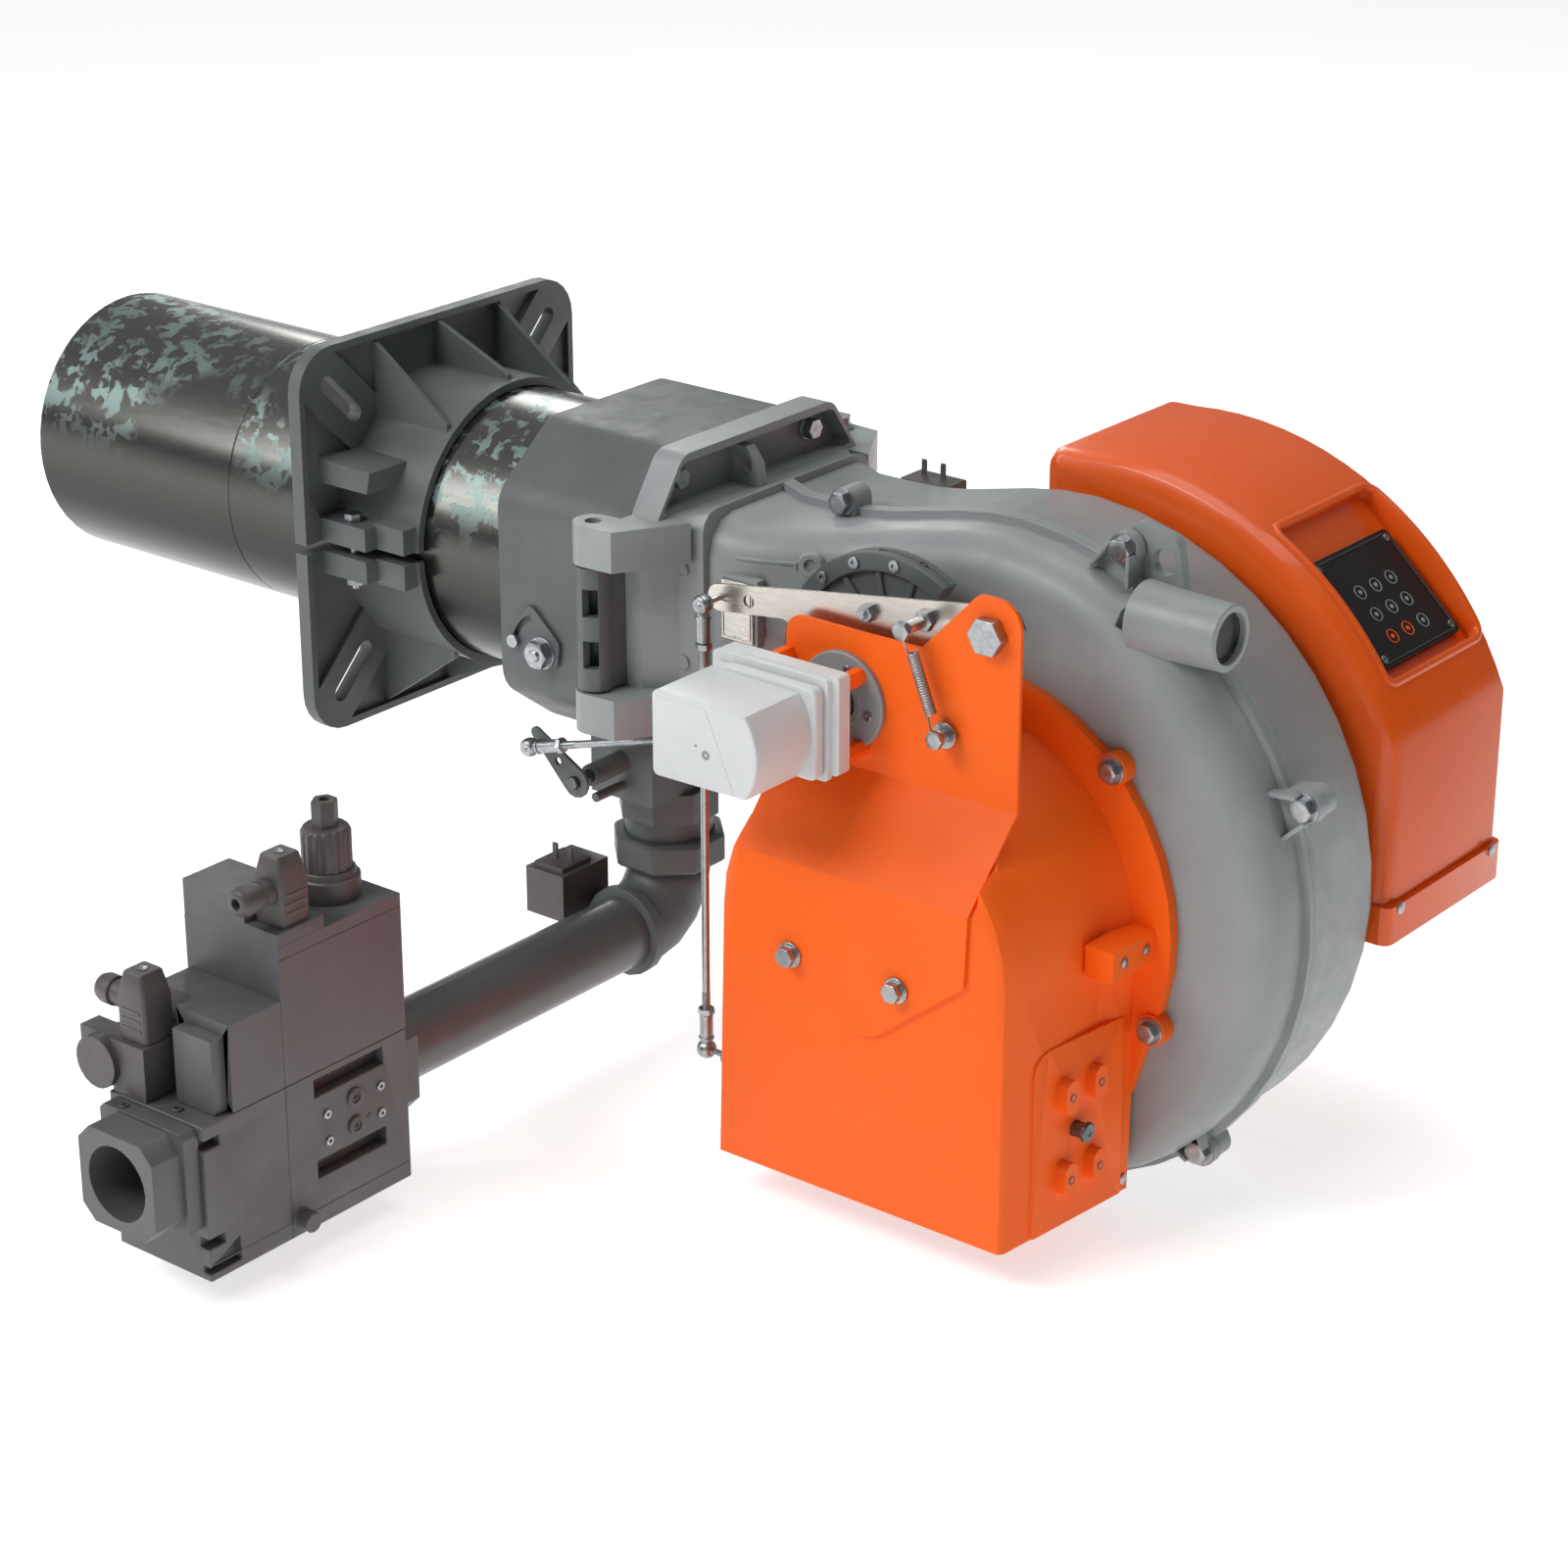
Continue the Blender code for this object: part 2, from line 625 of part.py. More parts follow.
def head_casting():
    outline = head_outline()
    shell = prism(outline, "X", HEAD_FRONT_X, HEAD_REAR_X)
    inner = prism(offset(outline, -HEAD_WALL), "X", HEAD_FRONT_X + HEAD_FRONT_WALL,
                  HEAD_REAR_X + 0.01)
    for side in (-1.0, 1.0):
        shell = add(shell, hinge_barrel(side))
    shell = cut(shell, inner)
    for side in (-1.0, 1.0):
        shell = cut(shell, rod("Z", (HINGE_X, side * HINGE_Y), HINGE_BORE, -0.2, 0.2, 12))
    for low in (-0.029, 0.012):
        y = sorted((-HINGE_Y - HINGE_BARREL_RADIUS - 0.002, -HINGE_Y + 0.001))
        shell = cut(shell, box(HINGE_X, HINGE_X + 0.011, y[0], y[1], low, low + 0.022))
    bore = rod("X", (0.0, 0.0), TUBE_RADIUS + FIT, HEAD_FRONT_X - 0.01, HEAD_FRONT_X + 0.02, 48)
    gas = rod("Z", (GAS_X, 0.0), GAS_BORE + 0.001, -HEAD_HALF_HEIGHT - 0.01,
              -HEAD_HALF_HEIGHT + 0.02, 24)
    return cut(shell, bore, gas)


def gas_lance():
    """The gas pipe of the mixing head, with its sliding shoe and its three centring fins."""
    front = LANCE_FRONT_X
    outer = rod("X", (0.0, 0.0), LANCE_RADIUS, front, LANCE_REAR_X, 20)
    shoe_end = -HEAD_HALF_HEIGHT + HEAD_WALL + FIT
    shoe = rod("Z", (GAS_X, 0.0), LANCE_RADIUS - 0.002, shoe_end, 0.0, 20)
    whole = add(outer, shoe)
    for turn in (30.0, 150.0, 270.0):
        fin = box(-0.215, -0.195, LANCE_RADIUS - 0.002, TUBE_RADIUS - TUBE_WALL - FIT,
                  -0.0015, 0.0015)
        whole = add(whole, turned(fin, "X", turn))
    bore = rod("X", (0.0, 0.0), LANCE_RADIUS - LANCE_WALL, front + 0.008, LANCE_REAR_X - 0.004, 20)
    inlet = rod("Z", (GAS_X, 0.0), LANCE_RADIUS - 0.002 - LANCE_WALL, -0.2, 0.0, 20)
    whole = cut(whole, bore, inlet)
    for k in range(6):
        jet = rod("Z", (front + 0.020, 0.0), 0.003, LANCE_RADIUS - 0.006, LANCE_RADIUS + 0.004, 8)
        whole = cut(whole, turned(jet, "X", 60.0 * k + 30.0))
    return whole


def flame_disc():
    """The slotted disc that holds the flame, on the end of the lance."""
    low = LANCE_FRONT_X - FLAME_DISC_THICK - FIT
    disc = rod("X", (0.0, 0.0), FLAME_DISC_RADIUS, low, low + FLAME_DISC_THICK, 28)
    rim = tube("X", (0.0, 0.0), FLAME_DISC_RADIUS, FLAME_DISC_RADIUS - 0.002, low + 0.001,
               low + 0.014, 28)
    disc = add(disc, rim)
    for k in range(FLAME_DISC_SLOTS):
        slot = box(low - 0.01, low + FLAME_DISC_THICK + 0.0005, 0.036, 0.070, -0.0022, 0.0022)
        disc = cut(disc, turned(slot, "X", 360.0 * (k + 0.5) / FLAME_DISC_SLOTS))
    return disc


def ignition_electrode():
    """A ceramic rod on the lance, with its wire bent over the flame disc's face."""
    z = LANCE_RADIUS + 0.006 + FIT
    ceramic = rod("X", (0.0, z), 0.006, -0.300, -0.120, 10)
    wire = rod("X", (0.0, z), 0.0015, -0.302, -0.110, 8)
    return add(ceramic, rod("X", (0.0, z), 0.0015, -0.308, -0.298, 8), wire)


def adjuster_plate():
    """The quadrant that sets the mixing head, with its pivot bolt."""
    back = -HEAD_HALF_WIDTH - FIT
    corners = [(0.225, -0.003), (0.200, -0.036), (0.206, -0.050), (0.252, -0.052), (0.255, -0.030)]
    plate = prism(rounded(corners, 0.006, 3), "Y", back - ADJUSTER_THICK, back)
    centre = (ADJUSTER_X, ADJUSTER_Z)
    slot = (arc(centre, ADJUSTER_SLOT_RADIUS + 0.0025, 112.0, 176.0, 6)
            + arc(centre, ADJUSTER_SLOT_RADIUS - 0.0025, 176.0, 112.0, 6))
    plate = cut(plate, prism(slot, "Y", back - 0.01, back + 0.01))
    return add(plate, hexagon("Y", centre, 0.0105, back - 0.012, back - 0.001))


def adjuster_lock_screw():
    """The screw in the quadrant's slot, which clamps it."""
    back = -HEAD_HALF_WIDTH - FIT
    a = math.radians(171.0)
    centre = (ADJUSTER_X + ADJUSTER_SLOT_RADIUS * math.cos(a),
              ADJUSTER_Z + ADJUSTER_SLOT_RADIUS * math.sin(a))
    front = back - ADJUSTER_THICK - FIT
    return add(rod("Y", centre, 0.0018, front - 0.001, back, 8),
               rod("Y", centre, 0.0055, front - 0.004, front, 12))


# Gas connection

def butterfly_body():
    top = -HEAD_HALF_HEIGHT - FIT
    low = top - BUTTERFLY_HEIGHT
    block = box(GAS_X - BUTTERFLY_HALF_X, GAS_X + BUTTERFLY_HALF_X, -BUTTERFLY_HALF_Y,
                BUTTERFLY_HALF_Y, low, top)
    bearing = rod("Y", (GAS_X, BUTTERFLY_SHAFT_Z), 0.009, -0.095, -BUTTERFLY_HALF_Y + 0.005, 16)
    stop = rod("Y", (GAS_X + 0.001, BUTTERFLY_SHAFT_Z - 0.020), 0.004, -0.090,
               -BUTTERFLY_HALF_Y + 0.005, 10)
    block = add(block, bearing, stop)
    bore = rod("Z", (GAS_X, 0.0), GAS_BORE, low - 0.01, top + 0.01, 24)
    shaft = rod("Y", (GAS_X, BUTTERFLY_SHAFT_Z), BUTTERFLY_SHAFT_RADIUS + FIT, -0.2, 0.045, 16)
    return cut(block, bore, shaft)


def gas_butterfly():
    shaft = rod("Y", (GAS_X, BUTTERFLY_SHAFT_Z), BUTTERFLY_SHAFT_RADIUS,
                GAS_LEVER_Y - GAS_LEVER_THICK - 0.004, 0.044, 16)
    disc = rod("Z", (GAS_X, 0.0), GAS_BORE - RUN_FIT, BUTTERFLY_SHAFT_Z - 0.0015,
               BUTTERFLY_SHAFT_Z + 0.0015, 24)
    return add(shaft, disc)


def gas_lever():
    """The slotted lever on the butterfly's shaft, with its ball stud."""
    hub = Vector((GAS_X, BUTTERFLY_SHAFT_Z))
    ball = Vector(GAS_BALL)
    heading = math.degrees(math.atan2(ball.y - hub.y, ball.x - hub.x))
    tip = hub + (ball - hub) * 1.22
    shape = arc(hub, 0.013, heading + 75.0, heading + 285.0, 8)
    shape = shape + arc(tip, 0.005, heading - 80.0, heading + 80.0, 4)
    lever = prism(shape, "Y", GAS_LEVER_Y - GAS_LEVER_THICK, GAS_LEVER_Y)
    bore = rod("Y", hub, BUTTERFLY_SHAFT_RADIUS + FIT, -0.2, 0.0, 16)
    spare = rod("Y", hub + (ball - hub) * 0.52, 0.003, -0.2, 0.0, 10)
    lever = cut(lever, bore, spare)
    stud = rod("Y", ball, 0.0025, GAS_BALL_Y + BALL_RADIUS + FIT, GAS_LEVER_Y - 0.001, 8)
    return add(lever, stud)


def pipe_adapter():
    top = -HEAD_HALF_HEIGHT - BUTTERFLY_HEIGHT - 2.0 * FIT
    low = top - ADAPTER_HEIGHT
    block = prism(circle((GAS_X, 0.0), ADAPTER_RADIUS, 8, 22.5), "Z", low, top)
    neck = rod("Z", (GAS_X, 0.0), NECK_RADIUS, low - NECK_HEIGHT, low + 0.002, 24)
    return cut(add(block, neck), rod("Z", (GAS_X, 0.0), GAS_BORE, low - 0.1, top + 0.01, 24))


def union_nut():
    block = prism(circle((GAS_X, 0.0), NUT_RADIUS, 8, 22.5), "Z", NUT_LOW, NUT_TOP)
    bore = rod("Z", (GAS_X, 0.0), NECK_RADIUS + FIT, NUT_LOW - 0.01, NUT_TOP + 0.01, 24)
    return cut(chamfered(block, 0.003, 50.0), bore)


def elbow_loops(radius_at, start_z, end_y, steps):
    """Rings down the neck, round the bend and along the run-out towards -Y."""
    turn_z = GAS_Z + ELBOW_BEND
    stations = [(0.0, start_z, 0.0), (0.0, NUT_LOW - 0.0004, 0.0), (0.0, NUT_LOW - 0.0009, 0.0)]
    for k in range(5):
        a = math.radians(90.0 * k / 4.0)
        stations.append((-ELBOW_BEND * (1.0 - math.cos(a)), turn_z - ELBOW_BEND * math.sin(a), a))
    for y in (end_y + 0.013, end_y + 0.010, end_y):
        stations.append((y, GAS_Z, math.pi / 2.0))
    loops = []
    for number, (y, z, tilt) in enumerate(stations):
        radius = radius_at(number, len(stations))
        ring = []
        for u, v in circle((0.0, 0.0), radius, steps):
            ring.append(Vector((GAS_X + u, y + v * math.cos(tilt), z - v * math.sin(tilt))))
        loops.append(ring)
    return loops


def elbow():
    end_y = -ELBOW_BEND - 0.015

    def outer(number, count):
        if number < 2:
            return NECK_RADIUS
        return ELBOW_BEAD if number > count - 3 else ELBOW_RADIUS

    skin = elbow_loops(outer, NECK_LOW - FIT, end_y, 18)
    hollow = elbow_loops(lambda number, count: GAS_BORE, NECK_LOW - FIT, end_y, 18)
    return loft(skin + hollow[::-1], ring=True)


def gas_pipe():
    return tube("Y", (GAS_X, GAS_Z), PIPE_RADIUS, PIPE_RADIUS - PIPE_WALL, OUTLET_FACE_Y + FIT,
                -ELBOW_BEND - 0.015 - FIT, 24)


def gas_pressure_switch():
    """The pressure switch screwed into the elbow's side, with its contact blades."""
    x0 = GAS_X - 0.080
    x1 = GAS_X - 0.040
    case = box(x0, x1, -0.085, -0.030, GAS_Z + 0.005, GAS_Z + 0.045)
    lid = box(x0 + 0.005, x1 - 0.005, -0.080, -0.045, GAS_Z + 0.044, GAS_Z + 0.049)
    nipple = rod("X", (-0.040, GAS_Z + 0.012), 0.008, x1 - 0.002, GAS_X - ELBOW_RADIUS - FIT, 10)
    case = add(case, lid, nipple)
    for k in range(2):
        x = x0 + 0.012 + 0.016 * k
        case = add(case, box(x, x + 0.005, -0.066, -0.064, GAS_Z + 0.048, GAS_Z + 0.062))
    return case


# Gas valve

def port_outline():
    half = PORT_FLANGE_HALF
    corners = [(GAS_X - half, GAS_Z - half), (GAS_X + half, GAS_Z - half),
               (GAS_X + half, GAS_Z + half), (GAS_X - half, GAS_Z + half)]
    return rounded(corners, 0.012, 1)


def port_flange(low, high, inner_low):
    """An octagonal pipe flange with a wider root against the valve's body."""
    face = prism(port_outline(), "Y", low, high)
    return cut(face, rod("Y", (GAS_X, GAS_Z), PORT_RADIUS, low - 0.01, high + 0.01, 24))


def valve_inlet_flange():
    root = prism(rectangle(GAS_X - 0.043, GAS_X + 0.043, GAS_Z - 0.040, GAS_Z + 0.041, 0.004, 1),
                 "Y", VALVE_IN_Y - 0.014, VALVE_IN_Y - FIT)
    neck = prism(port_outline(), "Y", INLET_FACE_Y, VALVE_IN_Y - 0.012)
    bore = rod("Y", (GAS_X, GAS_Z), PORT_RADIUS, INLET_FACE_Y - 0.01, VALVE_IN_Y + 0.01, 24)
    return cut(add(root, neck), bore)


def valve_outlet_flange():
    plate = prism(port_outline(), "Y", VALVE_OUT_Y + FIT, OUTLET_FACE_Y)
    bore = rod("Y", (GAS_X, GAS_Z), PIPE_RADIUS - PIPE_WALL, VALVE_OUT_Y - 0.01,
               OUTLET_FACE_Y + 0.01, 24)
    return cut(plate, bore)


def valve_body():
    x0 = GAS_X - VALVE_HALF_X
    x1 = GAS_X + VALVE_HALF_X
    block = box(x0, x1, VALVE_IN_Y, VALVE_OUT_Y, VALVE_BOTTOM_Z, VALVE_TOP_Z)
    foot = rod("X", (-0.470, VALVE_BOTTOM_Z + 0.013), 0.008, x1 - 0.001, x1 + 0.012, 12)
    block = add(block, foot)
    for z in (GAS_Z + 0.030, GAS_Z - 0.0355):
        block = cut(block, box(x1 - 0.012, x1 + 0.01, -0.452, -0.381, z - 0.0072, z + 0.0072))
    for z in (VALVE_TOP_Z - 0.015, VALVE_BOTTOM_Z + 0.030):
        block = cut(block, box(x1 - 0.010, x1 + 0.01, VALVE_IN_Y - 0.01, VALVE_IN_Y + 0.016,
                               z - 0.004, z + 0.004))
    wedge = [(VALVE_IN_Y - 0.01, VALVE_BOTTOM_Z + 0.006), (VALVE_IN_Y + 0.030, VALVE_BOTTOM_Z + 0.006),
             (VALVE_IN_Y + 0.030, VALVE_BOTTOM_Z + 0.026)]
    block = cut(block, prism(wedge, "X", x1 - 0.008, x1 + 0.01))
    passage = rod("Y", (GAS_X, GAS_Z), PORT_RADIUS, VALVE_IN_Y - 0.01, VALVE_IN_Y + 0.060, 24)
    return cut(block, passage)


def main_coil():
    x0 = GAS_X - VALVE_HALF_X
    x1 = GAS_X + VALVE_HALF_X
    block = box(x0, x1, MAIN_COIL_FRONT_Y, VALVE_OUT_Y, VALVE_TOP_Z + FIT, MAIN_COIL_TOP)
    cap = box(x0 + 0.0002, x0 + 0.062, MAIN_COIL_FRONT_Y + 0.0002, MAIN_COIL_FRONT_Y + 0.046,
              MAIN_COIL_TOP - 0.002, MAIN_COIL_TOP + MAIN_COIL_CAP)
    seat = box(x0 + 0.055, x1 - 0.0002, MAIN_COIL_FRONT_Y + 0.0002, MAIN_COIL_FRONT_Y + 0.046,
               MAIN_COIL_TOP - 0.002, MAIN_COIL_TOP + 0.010)
    return add(block, cap, seat)


def safety_coil():
    """The smaller coil, set back on one side for the pressure switch."""
    low = VALVE_TOP_Z + FIT
    right = GAS_X + VALVE_HALF_X
    block = box(GAS_X - 0.045, right, -0.5125, MAIN_COIL_FRONT_Y - FIT, low, SAFETY_COIL_TOP)
    front = box(GAS_X - 0.005, right, SAFETY_COIL_FRONT_Y, -0.510, low, SAFETY_COIL_TOP)
    step = box(GAS_X + 0.003, right - 0.006, SAFETY_COIL_FRONT_Y - 0.012,
               SAFETY_COIL_FRONT_Y + 0.002, low + 0.0002, SAFETY_COIL_TOP - 0.010)
    return add(block, front, step)


def plug_body(x, y, low, heading):
    """A connector plug with a tapered top, and a cable gland towards -X or -Y."""
    foot = rectangle(x - 0.014, x + 0.014, y - 0.014, y + 0.014, 0.003, 2)
    top = rectangle(x - 0.010, x + 0.010, y - 0.011, y + 0.011, 0.003, 2)
    loops = [[Vector((u, v, low)) for u, v in foot],
             [Vector((u, v, low + 0.032)) for u, v in foot],
             [Vector((u, v, low + 0.052)) for u, v in top]]
    gland_z = low + 0.026
    across, start = {"X": ((y, gland_z), x), "Y": ((x, gland_z), y)}[heading]
    gland = rod(heading, across, 0.0095, start - 0.034, start, 12)
    cap = hexagon(heading, across, 0.0115, start - 0.044, start - 0.026)
    return add(loft(loops), gland, cap)


def valve_pressure_switch():
    """The switch beside the safety coil, with its round setting cap."""
    low = VALVE_TOP_Z + FIT
    case = box(GAS_X - 0.044, GAS_X - 0.010, -0.560, -0.5130, low, low + 0.042)
    dial = rod("Y", (GAS_X - 0.056, low + 0.0205), 0.0200, -0.565, -0.535, 20)
    shell = box(GAS_X - 0.080, GAS_X - 0.040, -0.556, -0.538, low + 0.0005, low + 0.0405)
    return add(case, shell, dial)


def damper_base():
    return rod("Z", (KNOB_X, KNOB_Y), KNOB_RADIUS + 0.006, MAIN_COIL_TOP + FIT,
               MAIN_COIL_TOP + 0.022, 24)


def flow_adjuster_cap():
    """The fluted cap that sets the valve's flow, with its square-edged stem."""
    low = MAIN_COIL_TOP + 0.022 + FIT
    steps = 32
    flutes = []
    for k in range(steps):
        radius = KNOB_RADIUS - (0.0012 if k % 4 in (0, 1) else 0.0)
        a = 2.0 * math.pi * k / steps
        flutes.append((KNOB_X + radius * math.cos(a), KNOB_Y + radius * math.sin(a)))
    cap = prism(flutes, "Z", low, low + 0.032)
    stem = prism(circle((KNOB_X, KNOB_Y), 0.0095, 8), "Z", low + 0.030, low + 0.052)
    socket = rod("Z", (KNOB_X, KNOB_Y), 0.0035, low + 0.045, low + 0.06, 8)
    return cut(add(cap, stem), socket)


# Hinge frame between the head and the scroll

def frame_section(x, half_y, low, high, radius):
    outline = rounded([(-half_y, low), (half_y, low), (half_y, high), (-half_y, high)], radius, 3)
    return [Vector((x, u, v)) for u, v in outline]


def hinge_lug(side, low, high):
    """A lug around the hinge's pin, with its arm back to the frame."""
    y = side * HINGE_Y
    reach = HINGE_LUG_RADIUS
    root_y = side * 0.108
    shape = arc((HINGE_X, y), reach, 90.0, 270.0, 8)
    if side < 0.0:
        shape = [(HINGE_X, y + reach)] + shape[1:-1] + [(HINGE_X, y - reach),
                 (HEAD_REAR_X + 0.016, y - reach + 0.002), (DUCT_X - 0.006, root_y),
                 (HEAD_REAR_X + FIT + 0.0003, root_y), (HEAD_REAR_X + FIT + 0.0003, y + reach)]
    else:
        shape = [(HINGE_X, y + reach)] + shape[1:-1] + [(HINGE_X, y - reach),
                 (HEAD_REAR_X + FIT + 0.0003, y - reach), (HEAD_REAR_X + FIT + 0.0003, root_y),
                 (DUCT_X - 0.006, root_y), (HEAD_REAR_X + 0.016, y + reach - 0.002)]
    return prism(shape, "Z", low, high)


def hinge_frame():
    front = HEAD_REAR_X + FIT
    outer = [frame_section(front, 0.128, DUCT_BOTTOM - 0.003, DUCT_TOP, 0.012),
             frame_section(front + 0.014, 0.127, DUCT_BOTTOM - 0.003, DUCT_TOP, 0.012),
             frame_section(front + 0.036, 0.106, DUCT_BOTTOM - 0.002, DUCT_TOP + 0.001, 0.014),
             frame_section(DUCT_X - FIT, 0.101, DUCT_BOTTOM - 0.006, DUCT_TOP + 0.006, 0.016)]
    inner = [frame_section(front - 0.001, 0.121, DUCT_BOTTOM + 0.004, DUCT_TOP - 0.007, 0.010),
             frame_section(front + 0.014, 0.120, DUCT_BOTTOM + 0.004, DUCT_TOP - 0.007, 0.010),
             frame_section(front + 0.036, 0.090, DUCT_BOTTOM + 0.008, DUCT_TOP - 0.008, 0.010),
             frame_section(DUCT_X + 0.001, 0.088, DUCT_BOTTOM + 0.009, DUCT_TOP - 0.009, 0.010)]
    frame = loft(outer)
    arch = [(-0.127, 0.074), (0.127, 0.074), (0.090, 0.128), (-0.090, 0.128)]
    pocket = [(-0.115, 0.086), (0.115, 0.086), (0.090, 0.1215), (-0.090, 0.1215)]
    frame = add(frame, prism(rounded(arch, [0.0, 0.0, 0.016, 0.016], 4), "X", front, front + 0.026))
    frame = cut(frame, prism(rounded(pocket, [0.003, 0.003, 0.008, 0.008], 2), "X",
                             front + 0.009, front + 0.04))
    web = [(front + 0.002, 0.080), (front + 0.040, 0.080), (front + 0.036, 0.104),
           (front + 0.026, 0.1165), (front + 0.002, 0.1165)]
    frame = add(frame, prism(web, "Y", -0.0165, -0.0065))
    frame = cut(frame, rod("Y", (front + 0.0235, 0.102), 0.0085, -0.03, 0.01, 16))
    for side in (-1.0, 1.0):
        for low in (BARREL_TOP + 0.002, BARREL_BOTTOM - LUG_HEIGHT - 0.001):
            frame = add(frame, hinge_lug(side, low, low + LUG_HEIGHT - 0.001))
            frame = cut(frame, rod("Z", (HINGE_X, side * HINGE_Y), HINGE_BORE, low - 0.01,
                                   low + 0.05, 12))
    return cut(frame, loft(inner))


def hinge_bolt():
    """The bolt that is the hinge's pin, on the motor side."""
    top = BARREL_TOP + 0.001 + LUG_HEIGHT + FIT
    shank = rod("Z", (HINGE_X, HINGE_Y), HINGE_BOLT_RADIUS, BARREL_BOTTOM - LUG_HEIGHT,
                top + 0.002, 12)
    washer = rod("Z", (HINGE_X, HINGE_Y), 0.0125, top, top + 0.002, 16)
    return add(shank, washer, hexagon("Z", (HINGE_X, HINGE_Y), 0.0105, top + 0.0015, top + 0.010))


def frame_bolt(y):
    """A bolt that clamps the frame against the head."""
    face = HEAD_REAR_X + FIT + 0.009 + FIT
    return add(rod("X", (y, 0.106), 0.0100, face, face + 0.002, 16),
               hexagon("X", (y, 0.106), 0.0085, face + 0.0015, face + 0.010))


# Scroll

def smooth(a, b, value):
    """An S-shaped step from 0 at a to 1 at b."""
    t = min(max((value - a) / (b - a), 0.0), 1.0)
    return t * t * (3.0 - 2.0 * t)


def scroll_radius(degrees):
    """The scroll grows steadily from its bottom to its outlet, and shrinks to the tongue."""
    turn = (degrees - 270.0) / 90.0
    if turn >= 0.0:
        return SCROLL_BOTTOM_RADIUS + SCROLL_GROWTH * turn
    return SCROLL_BOTTOM_RADIUS + (SCROLL_BOTTOM_RADIUS - SCROLL_TONGUE_RADIUS) * turn


SPIRAL_START = 190.0
SPIRAL_STEPS = 32
TOP_STEPS = 7
DUCT_END_X = DUCT_X - 0.045


def scroll_outline():
    """The side view of the scroll: spiral, dipping top, and a duct end that is cut off later."""
    points = []
    for k in range(SPIRAL_STEPS + 1):
        degrees = SPIRAL_START + (450.0 - SPIRAL_START) * k / SPIRAL_STEPS
        a = math.radians(degrees)
        points.append((FAN_X + scroll_radius(degrees) * math.cos(a),
                       FAN_Z + scroll_radius(degrees) * math.sin(a)))
    top_z = points[-1][1]
    for k in range(1, TOP_STEPS + 1):
        x = FAN_X + (DUCT_X + 0.018 - FAN_X) * k / TOP_STEPS
        points.append((x, DUCT_DIP + (top_z - DUCT_DIP) * smooth(DUCT_X + 0.060, FAN_X - 0.010, x)))
    points.append((DUCT_X, DUCT_TOP))
    points.append((DUCT_END_X, DUCT_TOP))
    points.append((DUCT_END_X, DUCT_BOTTOM + 0.037))
    points.append((DUCT_X + 0.003, DUCT_BOTTOM))
    points.append((DUCT_X + 0.010, -0.145))
    return points


def inset_outline(distance):
    return offset(scroll_outline(), -distance)


def inlet_loop(radius, edge):
    """Points round the fan's axis, each in the direction of one point of the edge."""
    points = []
    last = 0.0
    for x, z in edge:
        turn = math.degrees(math.atan2(z - FAN_Z, x - FAN_X)) - SPIRAL_START
        turn = turn % 360.0 if points else 0.0
        last = max(turn, last + 0.5) if points else turn
        a = math.radians(SPIRAL_START + last)
        points.append((FAN_X + radius * math.cos(a), FAN_Z + radius * math.sin(a)))
    return points


def near_depth(x, z):
    """The near half is deep at the duct and shallow round the fan."""
    share = smooth(0.500, DUCT_X + 0.013, x) if x < 0.500 else 0.0
    share = share * smooth(0.192, 0.232, math.hypot(x - FAN_X, z - FAN_Z))
    share = share * smooth(-0.150, -0.090, z)
    return SCROLL_NEAR_DEPTH + (DUCT_HALF_Y - SCROLL_NEAR_DEPTH) * share


def half_scroll(side, depth_at, fillet, opening, wall_y):
    """One half of the scroll: seam rim, outer wall, rounded edge, side wall and hollow."""
    outline = scroll_outline()
    rim = offset(outline, SEAM_RIM)

    def ring(points, y_of):
        return [Vector((x, side * y_of(x, z), z)) for x, z in points]

    loops = [ring(rim, lambda x, z: FIT / 2.0), ring(rim, lambda x, z: SEAM_RIM),
             ring(outline, lambda x, z: SEAM_RIM), ring(outline, lambda x, z: depth_at(x, z) - fillet)]
    for degrees in (30.0, 60.0, 90.0):
        a = math.radians(degrees)
        loops.append(ring(inset_outline(fillet * (1.0 - math.cos(a))),
                          lambda x, z: depth_at(x, z) - fillet + fillet * math.sin(a)))
    edge = inset_outline(fillet)
    hole = inlet_loop(opening, edge)
    flat = []
    for e, h in zip(edge, hole):
        reach = min(0.191, math.hypot(e[0] - FAN_X, e[1] - FAN_Z) - 0.004)
        flat.append((FAN_X + (h[0] - FAN_X) * reach / opening, FAN_Z + (h[1] - FAN_Z) * reach / opening))
    across = [flat]
    for share in (0.45, 0.75) if side < 0.0 else ():
        ramp = [(m[0] + (e[0] - m[0]) * share, m[1] + (e[1] - m[1]) * share)
                for e, m in zip(edge, flat)]
        across.insert(0, ramp)
    for points in across:
        loops.append(ring(points, depth_at))
    loops.append(ring(hole, lambda x, z: wall_y))
    loops.append(ring(hole, lambda x, z: wall_y - SCROLL_WALL))
    for points in across[::-1] + [edge]:
        loops.append(ring(points, lambda x, z: depth_at(x, z) - SCROLL_WALL))
    loops.append(ring(inset_outline(SCROLL_WALL), lambda x, z: depth_at(x, z) - fillet))
    loops.append(ring(inset_outline(SCROLL_WALL), lambda x, z: FIT / 2.0))
    return cut(loft(loops, ring=True), box(DUCT_END_X - 0.02, DUCT_X, -0.2, 0.2, -0.15, 0.15))


SEAM_BOLTS = ((0.684, 0.106), (0.842, -0.051), (0.770, -0.344))


